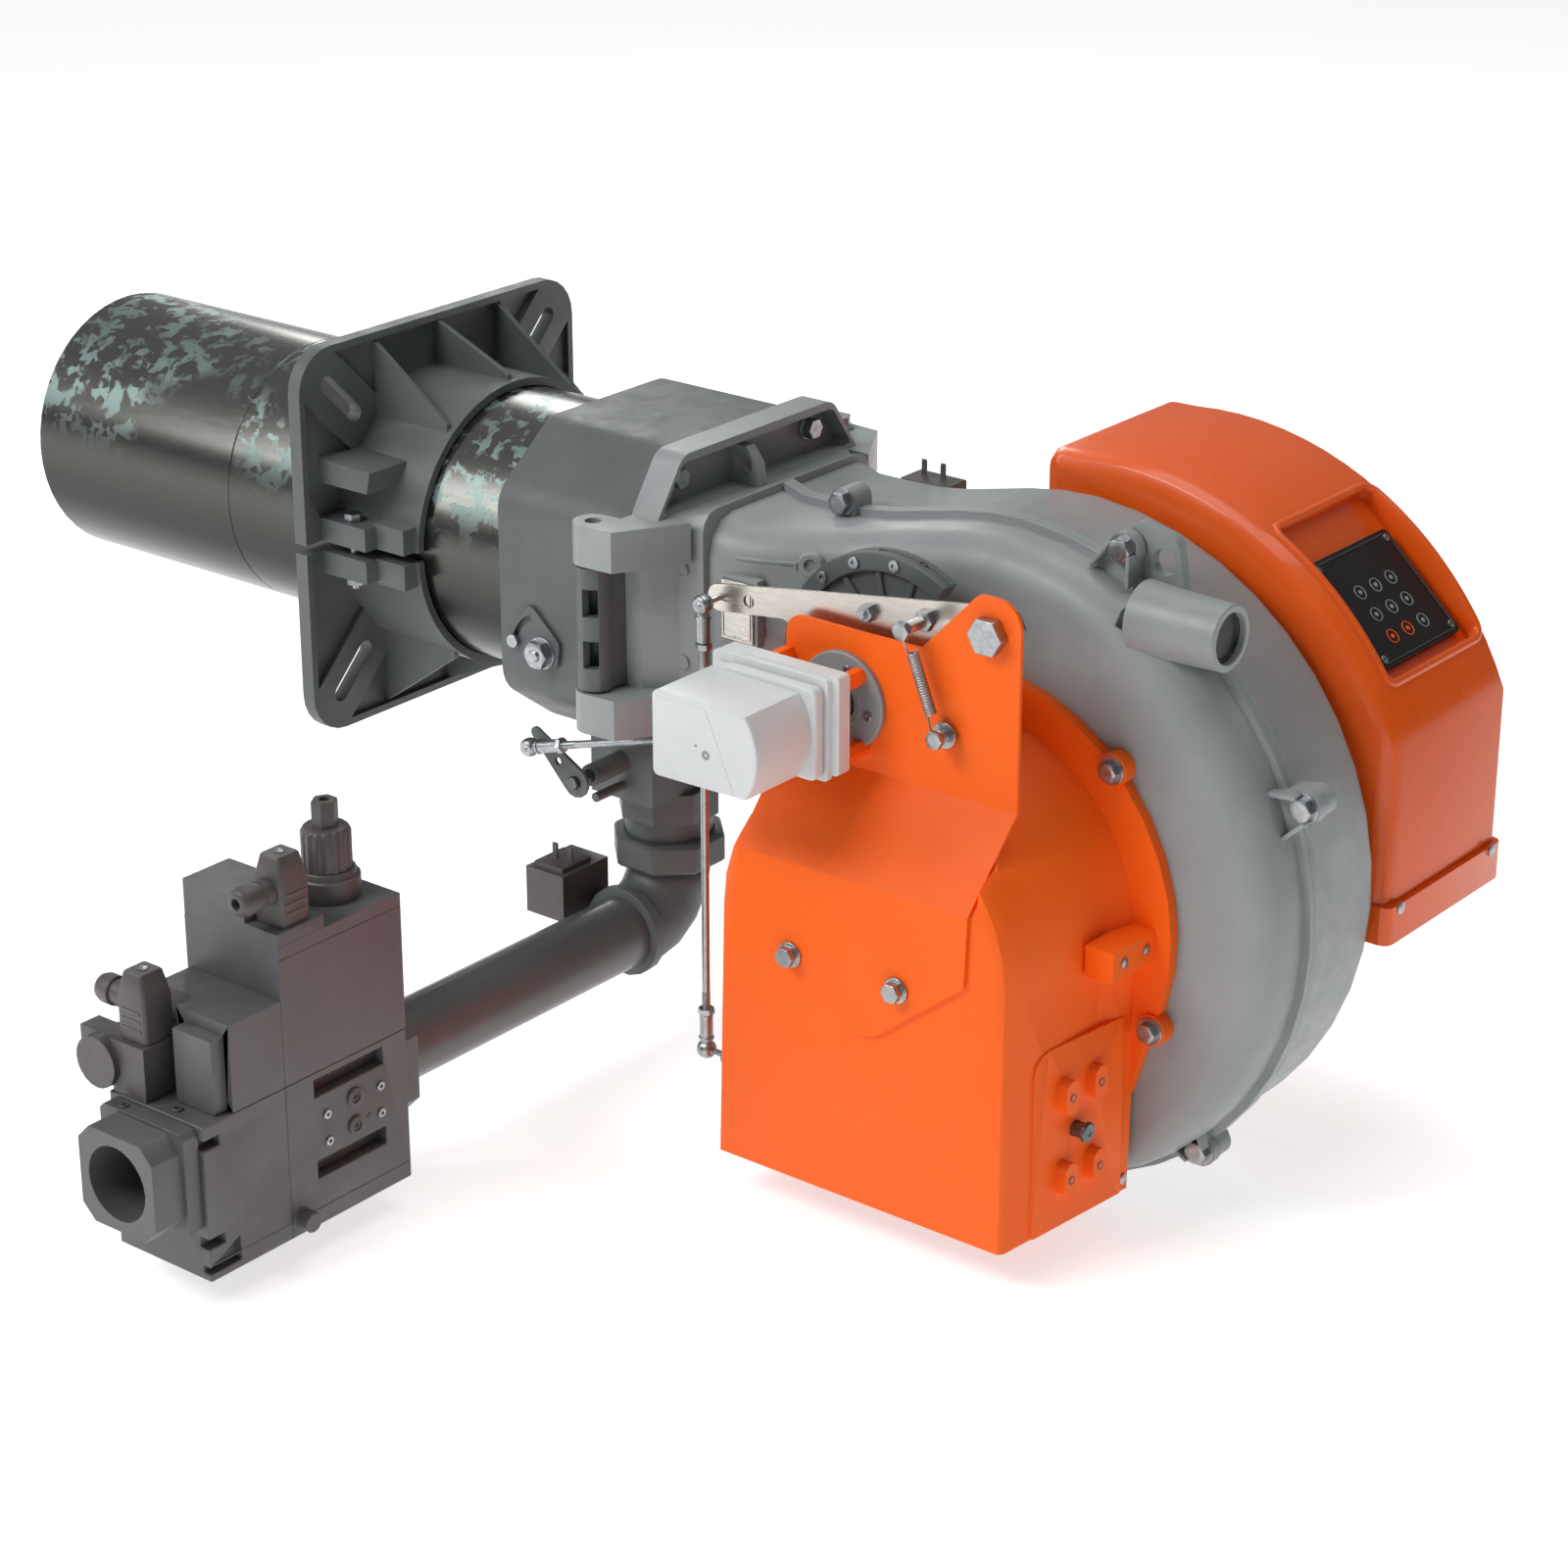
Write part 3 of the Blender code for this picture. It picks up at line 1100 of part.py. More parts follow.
def seam_lug(x, z, low, high):
    """A lug on the seam's rim, rounded about its bolt."""
    out = Vector((x - FAN_X, z - FAN_Z)).normalized()
    side = Vector((-out.y, out.x))
    heading = math.degrees(math.atan2(out.y, out.x))
    centre = Vector((x, z))
    root = centre - out * 0.026
    shape = arc((x, z), 0.0115, heading - 80.0, heading + 80.0, 7)
    shape = shape + [tuple(root + side * 0.018), tuple(root - side * 0.018)]
    return prism(shape, "Y", low, high)


def volute_front():
    half = half_scroll(-1.0, near_depth, SCROLL_FILLET, INLET_RADIUS, SCROLL_NEAR_DEPTH)
    for x, z in SEAM_BOLTS:
        half = add(half, seam_lug(x, z, -0.011, -FIT / 2.0),
                   hexagon("Y", (x, z), 0.0085, -0.018, -0.010))
    half = add(half, box(DUCT_PAD_X - 0.018, DUCT_PAD_X + 0.018, -DUCT_HALF_Y - 0.0005,
                         -DUCT_HALF_Y + 0.008, -0.007, 0.046))
    port = (-0.0250, 0.066)
    half = add(half, rod("X", port, 0.0240, 0.712, 0.784, 24))
    return cut(half, rod("X", port, 0.0190, 0.700, 0.800, 24))


def volute_rear():
    half = half_scroll(1.0, lambda x, z: SCROLL_FAR_DEPTH, 0.012, MOTOR_RADIUS + 0.020,
                       SCROLL_FAR_DEPTH)
    for x, z in SEAM_BOLTS:
        half = add(half, seam_lug(x, z, FIT / 2.0, 0.014))
    eye = rounded([(0.660, 0.098), (0.700, 0.070), (0.735, 0.055), (0.722, 0.118), (0.690, 0.126)],
                  [0.002, 0.002, 0.002, 0.010, 0.008], 3)
    half = add(half, prism(eye, "Y", FIT / 2.0, 0.009))
    return cut(half, rod("Y", (0.711, 0.099), 0.0100, -0.02, 0.05, 16))


def inspection_plug():
    return rod("X", (-0.0250, 0.066), 0.0190 - FIT, 0.764, 0.781, 24)


def duct_plate():
    """The small plate screwed to the pad on the duct's near side."""
    face = -DUCT_HALF_Y - 0.0005 - FIT
    return box(DUCT_PAD_X - 0.015, DUCT_PAD_X + 0.015, face - 0.002, face, -0.004, 0.043)


def air_pressure_switch():
    """The switch on the duct's far side, with its two contact blades."""
    y = SCROLL_FAR_DEPTH + FIT
    case = box(0.405, 0.450, y, y + 0.026, 0.020, 0.076)
    for k in range(2):
        x = 0.416 + 0.018 * k
        case = add(case, box(x, x + 0.005, y + 0.012, y + 0.014, 0.075, 0.090))
    return case


# Impeller and motor

def impeller():
    """Back plate, hub, curved blades and shroud ring in one casting."""
    plate = rod("Y", (FAN_X, FAN_Z), IMPELLER_RADIUS, IMPELLER_PLATE_Y,
                IMPELLER_PLATE_Y + IMPELLER_PLATE, 32)
    hub = rod("Y", (FAN_X, FAN_Z), 0.026, IMPELLER_PLATE_Y - 0.030, IMPELLER_PLATE_Y + 0.002, 20)
    wheel = add(plate, hub)
    blades = []
    for k in range(BLADE_COUNT):
        start = 360.0 * k / BLADE_COUNT
        front = []
        back = []
        for step in range(3):
            share = step / 2.0
            radius = BLADE_INNER_RADIUS + (IMPELLER_RADIUS - 0.003 - BLADE_INNER_RADIUS) * share
            a = math.radians(start + 9.0 * share * share)
            b = a + 0.0022 / radius
            front.append((FAN_X + radius * math.cos(a), FAN_Z + radius * math.sin(a)))
            back.append((FAN_X + radius * math.cos(b), FAN_Z + radius * math.sin(b)))
        blades.append(prism(front + back[::-1], "Y", IMPELLER_FRONT_Y + 0.0012,
                            IMPELLER_PLATE_Y + 0.0012))
    wheel = add(wheel, joined(*blades))
    ring = tube("Y", (FAN_X, FAN_Z), IMPELLER_RADIUS, BLADE_INNER_RADIUS - 0.003,
                IMPELLER_FRONT_Y, IMPELLER_FRONT_Y + 0.003, 32)
    wheel = add(wheel, ring)
    return cut(wheel, rod("Y", (FAN_X, FAN_Z), MOTOR_SHAFT_RADIUS + FIT, -0.1, 0.2, 20))


def motor_shaft():
    return rod("Y", (FAN_X, FAN_Z), MOTOR_SHAFT_RADIUS, IMPELLER_PLATE_Y - 0.032,
               SCROLL_FAR_DEPTH + 0.060, 16)


def motor():
    """Flange, finned barrel and fan cowl of the motor, bored for its shaft."""
    low = SCROLL_FAR_DEPTH + FIT
    bore = MOTOR_SHAFT_RADIUS + FIT
    profile = [(bore, low), (MOTOR_FLANGE_RADIUS, low), (MOTOR_FLANGE_RADIUS, low + MOTOR_FLANGE),
               (MOTOR_RADIUS, low + MOTOR_FLANGE)]
    fins = 3
    pitch = (MOTOR_END_Y - 0.050 - low - MOTOR_FLANGE) / fins
    for k in range(fins):
        y = low + MOTOR_FLANGE + pitch * k
        profile += [(MOTOR_RADIUS - 0.006, y + pitch * 0.4), (MOTOR_RADIUS - 0.006, y + pitch * 0.7),
                    (MOTOR_RADIUS, y + pitch)]
    profile += [(MOTOR_RADIUS - 0.003, MOTOR_END_Y), (0.0, MOTOR_END_Y), (0.0, low + 0.062),
                (bore, low + 0.062)]
    return revolve(profile, "Y", (FAN_X, FAN_Z), 24)


# Air intake

INTAKE_SIDES = ((INTAKE_FRONT_Y, INTAKE_FRONT_HALF_X - INTAKE_ROUND, INTAKE_FRONT_HALF_X - 0.003),
                (INTAKE_FRONT_Y + INTAKE_ROUND * 0.25, INTAKE_FRONT_HALF_X - INTAKE_ROUND * 0.3,
                 INTAKE_FRONT_HALF_X),
                (INTAKE_FRONT_Y + INTAKE_ROUND, INTAKE_FRONT_HALF_X, INTAKE_FRONT_HALF_X + 0.001),
                (INTAKE_BACK_Y - 0.030, INTAKE_FRONT_HALF_X + 0.006, INTAKE_HALF_X - 0.003),
                (INTAKE_BACK_Y + 0.004, INTAKE_FRONT_HALF_X + 0.016, INTAKE_HALF_X))


def intake_loop(radius, half_x, low, y, steps=16):
    """An arch over the fan's axis with straight sides down to low."""
    top = arc((FAN_X, FAN_Z), radius, 0.0, 180.0, steps)
    side = [(FAN_X - half_x, low), (FAN_X + half_x, low)]
    return [Vector((x, y, z)) for x, z in top + side]


def intake_side(y, z):
    """The x of the intake's right outer wall."""
    for (y0, r0, h0), (y1, r1, h1) in zip(INTAKE_SIDES, INTAKE_SIDES[1:]):
        if y <= y1:
            break
    share = (y - y0) / (y1 - y0)
    radius = r0 + (r1 - r0) * share
    half = h0 + (h1 - h0) * share
    return FAN_X + radius + (half - radius) * (z - FAN_Z) / (INTAKE_BOTTOM_Z - FAN_Z)


def side_pad(outline, height, sink=0.002):
    """A raised pad that follows the intake's sloping right wall."""
    loops = [[Vector((intake_side(y, z) + lift, y, z)) for y, z in outline]
             for lift in (-sink, height)]
    return loft(loops)


def slope_room(gap):
    """The space that the bracket's slope takes, with a gap below the sheet."""
    low = Vector((INTAKE_FRONT_Y - FIT, BEND_LOW_Z))
    high = Vector((BRACKET_FACE_Y + SHEET, BEND_HIGH_Z))
    along = (high - low).normalized()
    start = low + Vector((along.y, -along.x)) * gap
    foot_y = start.x + along.x * (low.y - gap - start.y) / along.y
    head_z = start.y + along.y * (high.x + gap - start.x) / along.x
    shape = [(-0.260, low.y - gap), (foot_y, low.y - gap), (high.x + gap, head_z),
             (high.x + gap, 0.040), (-0.260, 0.040)]
    return prism(shape, "X", BRACKET_LEFT - 0.030, BRACKET_RIGHT + 0.002 + gap)


def cam_room(radius, last, low, high):
    """The sector that the cam sweeps, with the servo's axis as its corner."""
    shape = [(CAM_X, CAM_Z + 0.060)] + arc((CAM_X, CAM_Z), radius, 175.0, last, 14)
    return prism(shape, "Y", low, high)


def crank_room(gap, low, high):
    """The round space in which the gas crank and the rod's end travel."""
    return rod("Y", (CAM_X, CAM_Z), GAS_CRANK_RADIUS + GAS_CRANK_END + gap, low, high, 40)


def air_intake():
    """The sheet housing over the fan's eye, dented where the cam, crank and bracket stand."""
    low = INTAKE_BOTTOM_Z
    back = -SCROLL_NEAR_DEPTH - FIT
    w = INTAKE_WALL
    shell = loft([intake_loop(radius, half, low, y) for y, radius, half in INTAKE_SIDES])
    sides = [(INTAKE_FRONT_Y + w, INTAKE_SIDES[0][1] - w, INTAKE_SIDES[0][2] - w)]
    sides += [(y, radius - w, half - w) for y, radius, half in INTAKE_SIDES[2:4]]
    sides += [(back - INTAKE_RING, INTAKE_SIDES[3][1] + 0.006 - w, INTAKE_HALF_X - w)]
    hollow = loft([intake_loop(r, h, low - 0.02, y) for y, r, h in sides])
    front = GAS_PIN_Y - 0.0150
    behind = GAS_PIN_Y + BALL_RADIUS + 0.003
    shell = cut(shell, slope_room(0.0006), cam_room(CAM_RADIUS + 0.003, 278.0, front, -0.020),
                crank_room(0.0025, front, behind))
    hollow = cut(hollow, slope_room(0.0006 + w),
                 cam_room(CAM_RADIUS + 0.003 + w, 281.0, front - w, -0.020),
                 crank_room(0.0025 + w, front - w, behind + w))
    shell = cut(shell, hollow)
    seat = arc((FAN_X, FAN_Z), INTAKE_RING_RADIUS, -26.0, 206.0, 24)
    seat = seat + [(FAN_X - INTAKE_HALF_X, -0.290), (FAN_X + INTAKE_HALF_X, -0.290)]
    shell = add(shell, prism(seat, "Y", back - INTAKE_RING, back))
    for degrees in (46.0, 134.0, -22.0, 202.0):
        a = math.radians(degrees)
        x = FAN_X + INTAKE_RING_RADIUS * math.cos(a)
        z = FAN_Z + INTAKE_RING_RADIUS * math.sin(a)
        ear = rod("Y", (x, z), 0.0125, back - INTAKE_RING - 0.003, back, 14)
        shell = add(shell, ear, hexagon("Y", (x, z), 0.0070, back - INTAKE_RING - 0.009,
                                        back - INTAKE_RING - 0.002))
    shell = cut(shell, rod("Y", (FAN_X, FAN_Z), INLET_RADIUS, back - INTAKE_RING - 0.002,
                           back + 0.01, 32))
    door = rounded([(-0.166, low + 0.0005), (-0.066, low + 0.0005), (-0.066, -0.222),
                    (-0.166, -0.222)], [0.002, 0.002, 0.004, 0.016], 3)
    shell = add(shell, side_pad(door, 0.002))
    for y, z in ((-0.133, -0.262), (-0.101, -0.261), (-0.133, -0.328), (-0.101, -0.328)):
        boss = (arc((y, z + 0.006), 0.0075, 0.0, 180.0, 5)
                + arc((y, z - 0.006), 0.0075, 180.0, 360.0, 5))
        shell = add(shell, side_pad(boss, 0.011))
    x = FAN_X + INTAKE_HALF_X
    block = prism(rectangle(-0.112, back - 0.003, -0.176, -0.152), "X", x - 0.006, x + 0.018)
    shell = add(shell, block)
    shaft = rod("X", (DAMPER_Y, DAMPER_Z), DAMPER_SHAFT_RADIUS + FIT, 0.40, 0.80, 16)
    return cut(shell, shaft)


def damper_blade():
    """The air damper with its shaft, closed across the intake."""
    half = INTAKE_FRONT_HALF_X - INTAKE_WALL - 0.004
    blade = box(FAN_X - half, FAN_X + half, INTAKE_FRONT_Y + INTAKE_ROUND - 0.002,
                -SCROLL_NEAR_DEPTH - INTAKE_RING - 0.004, DAMPER_Z - DAMPER_THICK / 2.0,
                DAMPER_Z + DAMPER_THICK / 2.0)
    shaft = rod("X", (DAMPER_Y, DAMPER_Z), DAMPER_SHAFT_RADIUS, CRANK_X - 0.003,
                FAN_X + INTAKE_HALF_X + 0.005, 16)
    return add(blade, shaft)


def damper_crank():
    """The arm on the damper's shaft, with the ball stud of the push rod."""
    heading = 180.0 + CRANK_DROP
    shape = arc((DAMPER_Y, DAMPER_Z), 0.011, heading + 90.0, heading + 270.0, 8)
    shape = shape + arc(CRANK_REST, 0.007, heading - 90.0, heading + 90.0, 6)
    arm = prism(shape, "X", CRANK_X, CRANK_X + SHEET)
    arm = cut(arm, rod("X", (DAMPER_Y, DAMPER_Z), DAMPER_SHAFT_RADIUS + FIT, 0.3, 0.6, 16))
    return add(arm, rod("X", CRANK_REST, 0.0025, ROD_X + BALL_RADIUS + FIT, CRANK_X + 0.001, 8))


# Bracket, lever, cam and servo

def servo_bracket():
    """One folded sheet: fixing plate, slope, the servo and lever's plate, and the servo's posts."""
    low_y = INTAKE_FRONT_Y - FIT - SHEET
    high_y = BRACKET_FACE_Y
    corners = [(BRACKET_LEFT, BEND_HIGH_Z), (BRACKET_LEFT, BEND_LOW_Z), (BRACKET_LEFT, -0.166),
               (0.599, -0.236), (BRACKET_RIGHT - 0.004, -0.166), (BRACKET_RIGHT - 0.002, BEND_LOW_Z),
               (BRACKET_RIGHT, BEND_HIGH_Z), (BRACKET_RIGHT, 0.104), (0.656, 0.104),
               (0.607, 0.053), (BRACKET_LEFT + 0.003, 0.053)]
    radii = [0.0, 0.0, 0.006, 0.030, 0.006, 0.0, 0.0, 0.020, 0.010, 0.006, 0.014]
    outline = rounded(corners, radii, 5)
    sheet = prism(outline, "Y", 0.0, SHEET)
    for z in (BEND_LOW_Z, BEND_HIGH_Z):
        bmesh.ops.bisect_plane(sheet, geom=sheet.verts[:] + sheet.edges[:] + sheet.faces[:],
                               dist=0.000001, plane_co=(0.0, 0.0, z), plane_no=(0.0, 0.0, 1.0))
    for vert in sheet.verts:
        share = (vert.co.z - BEND_LOW_Z) / (BEND_HIGH_Z - BEND_LOW_Z)
        vert.co.y += low_y + (high_y - low_y) * min(max(share, 0.0), 1.0)
    finish(sheet)
    for x, z, radius in ((CAM_X, CAM_Z, 0.0140), (LEVER_PIVOT_X, LEVER_PIVOT_Z, PIVOT_RADIUS + FIT)):
        sheet = cut(sheet, rod("Y", (x, z), radius, -0.20, -0.10, 16))
    for place in STANDOFFS:
        sheet = add(sheet, hexagon("Y", place, 0.0068, SERVO_BASE_Y + FIT, BRACKET_FACE_Y + 0.0005))
    return sheet


def bracket_bolt(x):
    face = INTAKE_FRONT_Y - 2.0 * FIT - SHEET
    return add(rod("Y", (x, -0.184), 0.0100, face - 0.002, face, 16),
               hexagon("Y", (x, -0.184), 0.0080, face - 0.009, face - 0.0015))


def lever_pivot_bolt():
    """The bolt on which the air lever turns, with its nut behind the lever."""
    front = BRACKET_FACE_Y - FIT
    centre = (LEVER_PIVOT_X, LEVER_PIVOT_Z)
    head = hexagon("Y", centre, 0.0145, front - 0.009, front)
    shank = rod("Y", centre, PIVOT_RADIUS, front - 0.001, LEVER_BACK_Y + 0.012, 16)
    spacer = tube("Y", centre, 0.011, 0.004, BRACKET_BACK_Y + FIT, LEVER_FRONT_Y - FIT, 16)
    nut = hexagon("Y", centre, 0.0130, LEVER_BACK_Y + 0.001, LEVER_BACK_Y + 0.009)
    return add(head, shank, spacer, nut)


def air_lever():
    """The long lever that the cam lifts, with its ball stud, spring post and follower pin."""
    end = (ROD_X, LEVER_END_Z)
    shape = arc(end, 0.0105, 90.0, 262.0, 7)
    shape = shape + [(0.474, 0.041), (0.500, 0.030), (0.580, 0.034)]
    shape = shape + arc((LEVER_PIVOT_X, LEVER_PIVOT_Z), 0.0165, -75.0, 98.0, 9)
    lever = prism(shape, "Y", LEVER_FRONT_Y, LEVER_BACK_Y)
    lever = cut(lever, rod("Y", (LEVER_PIVOT_X, LEVER_PIVOT_Z), PIVOT_RADIUS + FIT, -0.2, 0.0, 16))
    lever = cut(lever, rod("Y", (0.442, 0.047), 0.0050, -0.2, 0.0, 12))
    stud = rod("Y", end, 0.0025, ROD_Y + BALL_RADIUS + FIT, LEVER_FRONT_Y + 0.001, 8)
    post = rod("Y", (0.603, 0.070), 0.0045, LEVER_FRONT_Y - 0.030, LEVER_FRONT_Y + 0.001, 10)
    base = hexagon("Y", (0.603, 0.070), 0.0075, LEVER_FRONT_Y - 0.006, LEVER_FRONT_Y + 0.001)
    nut = hexagon("Y", (FOLLOWER_X, FOLLOWER_Z), 0.0060, LEVER_FRONT_Y - 0.006,
                  LEVER_FRONT_Y + 0.001)
    pin = rod("Y", (FOLLOWER_X, FOLLOWER_Z), 0.0030, LEVER_BACK_Y - 0.001,
              LEVER_BACK_Y + 0.014, 10)
    return add(lever, stud, post, base, nut, pin)


def cam_follower():
    """The ball bearing that rolls on the cam."""
    low = LEVER_BACK_Y + 0.002
    return tube("Y", (FOLLOWER_X, FOLLOWER_Z), FOLLOWER_RADIUS, 0.0030 + FIT, low, low + 0.010, 20)


def follower_path(share):
    """The follower's centre in the cam's own frame, at a share of the cam's travel."""
    lift = math.radians(LEVER_TRAVEL * share)
    dx = FOLLOWER_X - LEVER_PIVOT_X
    dz = FOLLOWER_Z - LEVER_PIVOT_Z
    x = LEVER_PIVOT_X + dx * math.cos(lift) + dz * math.sin(lift) - CAM_X
    z = LEVER_PIVOT_Z - dx * math.sin(lift) + dz * math.cos(lift) - CAM_Z
    back = -math.radians(CAM_TRAVEL * share)
    return x * math.cos(back) - z * math.sin(back), x * math.sin(back) + z * math.cos(back)


def cam_disc():
    """Servo shaft, gas crank, rising cam track and the ribbed web that carries the ring."""
    track_front = LEVER_BACK_Y + 0.0025
    track_back = track_front + 0.009
    shaft = rod("Y", (CAM_X, CAM_Z), 0.0120, BRACKET_FACE_Y - 0.010, CAM_FRONT_Y + 0.008, 20)
    track = []
    for k in range(13):
        x, z = follower_path(k / 12.0)
        reach = math.hypot(x, z)
        scale = (reach - FOLLOWER_RADIUS - RUN_FIT) / reach
        track.append((CAM_X + x * scale, CAM_Z + z * scale))
    track.append((CAM_X + 0.030, CAM_Z - 0.012))
    track.append((CAM_X - 0.005, CAM_Z - 0.016))
    track.append((CAM_X - 0.016, CAM_Z + 0.016))
    disc = add(shaft, prism(track, "Y", track_front, track_back))
    heading = GAS_CRANK_ANGLE
    arm = arc(GAS_PIN, GAS_CRANK_END, heading - 90.0, heading + 90.0, 6)
    arm = arm + arc((CAM_X, CAM_Z), 0.014, heading + 90.0, heading + 270.0, 8)
    disc = add(disc, prism(arm, "Y", track_back + 0.001, track_back + 0.004))
    disc = add(disc, rod("Y", GAS_PIN, 0.0025, track_back + 0.003, GAS_PIN_Y - BALL_RADIUS - FIT, 8))
    inner = CAM_RADIUS - CAM_BAND
    web = arc((CAM_X, CAM_Z), inner - FIT, 58.0, 182.0, 24) + arc((CAM_X, CAM_Z), 0.008, 182.0, 58.0, 4)
    disc = add(disc, prism(web, "Y", CAM_FRONT_Y + 0.005, CAM_FRONT_Y + 0.0078))
    return disc


def cam_ring():
    """The adjusting ring's segment, carried on the web's edge."""
    centre = (CAM_X, CAM_Z)
    inner = CAM_RADIUS - CAM_BAND
    shape = arc(centre, CAM_RADIUS, 58.0, 182.0, 26) + arc(centre, inner, 182.0, 58.0, 26)
    return prism(shape, "Y", CAM_FRONT_Y, CAM_FRONT_Y + CAM_WIDTH)


def rod_end(centre, along, axis):
    """A ball socket with its shank in the rod's direction."""
    x, y, z = centre
    across = {"X": ((y, z), x), "Y": ((x, z), y)}[axis]
    return rod(axis, across[0], BALL_RADIUS, across[1] - BALL_RADIUS, across[1] + BALL_RADIUS, 14)


def straight_rod(start, end, radius, steps=10):
    """A round bar between two points."""
    a = Vector(start)
    b = Vector(end)
    ahead = (b - a).normalized()
    across = ahead.orthogonal().normalized()
    other = ahead.cross(across)
    loops = []
    for point in (a, b):
        loops.append([point + across * u + other * v for u, v in circle((0.0, 0.0), radius, steps)])
    return loft(loops)


def linkage_rod(start, end, start_axis, end_axis):
    """A push rod with a ball socket and a lock nut at each end."""
    a = Vector(start)
    b = Vector(end)
    ahead = (b - a).normalized()
    bar = straight_rod(a, b, ROD_RADIUS)
    bar = add(bar, straight_rod(a, a + ahead * 0.030, 0.0052), straight_rod(b, b - ahead * 0.030, 0.0052))
    return add(bar, rod_end(start, ahead, start_axis), rod_end(end, ahead, end_axis))


def air_rod():
    top = (ROD_X, ROD_Y, LEVER_END_Z)
    bottom = (ROD_X, CRANK_REST[0], CRANK_REST[1])
    return linkage_rod(top, bottom, "Y", "X")


def gas_rod():
    start = (GAS_PIN[0], GAS_PIN_Y, GAS_PIN[1])
    end = (GAS_BALL[0], GAS_BALL_Y, GAS_BALL[1])
    return linkage_rod(start, end, "Y", "Y")


def servo_outline():
    """A rectangle whose right side is bowed outwards."""
    half = (SERVO_TOP - SERVO_BOTTOM) / 2.0
    middle = (SERVO_TOP + SERVO_BOTTOM) / 2.0
    radius = (half ** 2 + SERVO_BULGE ** 2) / (2.0 * SERVO_BULGE)
    centre = (SERVO_RIGHT + SERVO_BULGE - radius, middle)
    sweep = math.degrees(math.asin(half / radius))
    left = rounded([(SERVO_RIGHT, SERVO_TOP), (SERVO_LEFT, SERVO_TOP), (SERVO_LEFT, SERVO_BOTTOM),
                    (SERVO_RIGHT, SERVO_BOTTOM)], [0.0, 0.005, 0.005, 0.0], 3)
    return left[1:-1] + arc(centre, radius, -sweep, sweep, 8)


def servo_cover():
    return prism(servo_outline(), "Y", SERVO_FRONT_Y, SERVO_BACK_Y - FIT)


def servo_base():
    """The servo's stepped base, which stands on the bracket's four hexagonal posts."""
    x0 = SERVO_LEFT - 0.004
    x1 = SERVO_RIGHT + SERVO_BULGE + 0.006
    z0 = SERVO_BOTTOM - 0.004
    z1 = SERVO_TOP + 0.008
    base = prism(rectangle(x0, x1, z0, z1, 0.003, 2), "Y", SERVO_BACK_Y, SERVO_BACK_Y + 0.006)
    deck = prism(rectangle(x0 + 0.004, x1 + 0.006, z0 + 0.004, z1 + 0.002, 0.003, 2), "Y",
                 SERVO_BACK_Y + 0.005, SERVO_BASE_Y)
    base = add(base, deck)
    return cut(base, rod("Y", (CAM_X, CAM_Z), 0.0130, SERVO_BASE_Y - 0.008, -0.10, 20))


def spring_post():
    """The bolt on the bracket that holds the spring's lower end."""
    front = BRACKET_FACE_Y - FIT
    centre = (0.633, -0.004)
    return add(rod("Y", centre, 0.0045, front - 0.017, front, 10),
               hexagon("Y", centre, 0.0085, front - 0.006, front))


def return_spring():
    """The lever's tension spring between its two posts."""
    y = BRACKET_FACE_Y - 0.013
    top = Vector((0.603, y, 0.070))
    low = Vector((0.633, y, -0.004))
    ahead = (low - top).normalized()
    return straight_rod(top + ahead * 0.0052, low - ahead * 0.0052, 0.0046, 12)


# Hood and control panel

def hood_outline():
    start = math.degrees(math.acos((HOOD_LEFT + 0.034 - FAN_X) / HOOD_RADIUS))
    end = math.degrees(math.acos((HOOD_RIGHT - FAN_X) / HOOD_RADIUS))
    crown = arc((FAN_X, HOOD_CENTRE_Z), HOOD_RADIUS, end, start, 18)
    left = rounded([crown[-1], (HOOD_LEFT, HOOD_TOP), (HOOD_LEFT, HOOD_BASE)],
                   [0.0, 0.014, 0.0], 4)[1:-1]
    return crown + left + [(HOOD_LEFT, HOOD_BASE), (HOOD_RIGHT, HOOD_BASE)]


def hood_loop(distance, y, low=None):
    points = offset(hood_outline(), -distance)
    floor = HOOD_BASE if low is None else low
    return [Vector((x, y, max(z, floor))) for x, z in points[:-2]] + [
        Vector((points[-2][0], y, floor)), Vector((points[-1][0], y, floor))]


def panel_frame(bm, distance):
    """Turns a solid made on the fan axis so that it faces out at the panel's angle."""
    a = math.radians(PANEL_ANGLE)
    bmesh.ops.translate(bm, verts=bm.verts[:], vec=(distance, 0.0, 0.0))
    bmesh.ops.rotate(bm, verts=bm.verts[:], cent=(0, 0, 0), matrix=Matrix.Rotation(-a, 3, "Y"))
    bmesh.ops.translate(bm, verts=bm.verts[:], vec=(FAN_X, PANEL_Y, HOOD_CENTRE_Z))
    return bm


RECESS_FLOOR = HOOD_RADIUS * math.cos(math.radians(15.0)) - PANEL_DEPTH


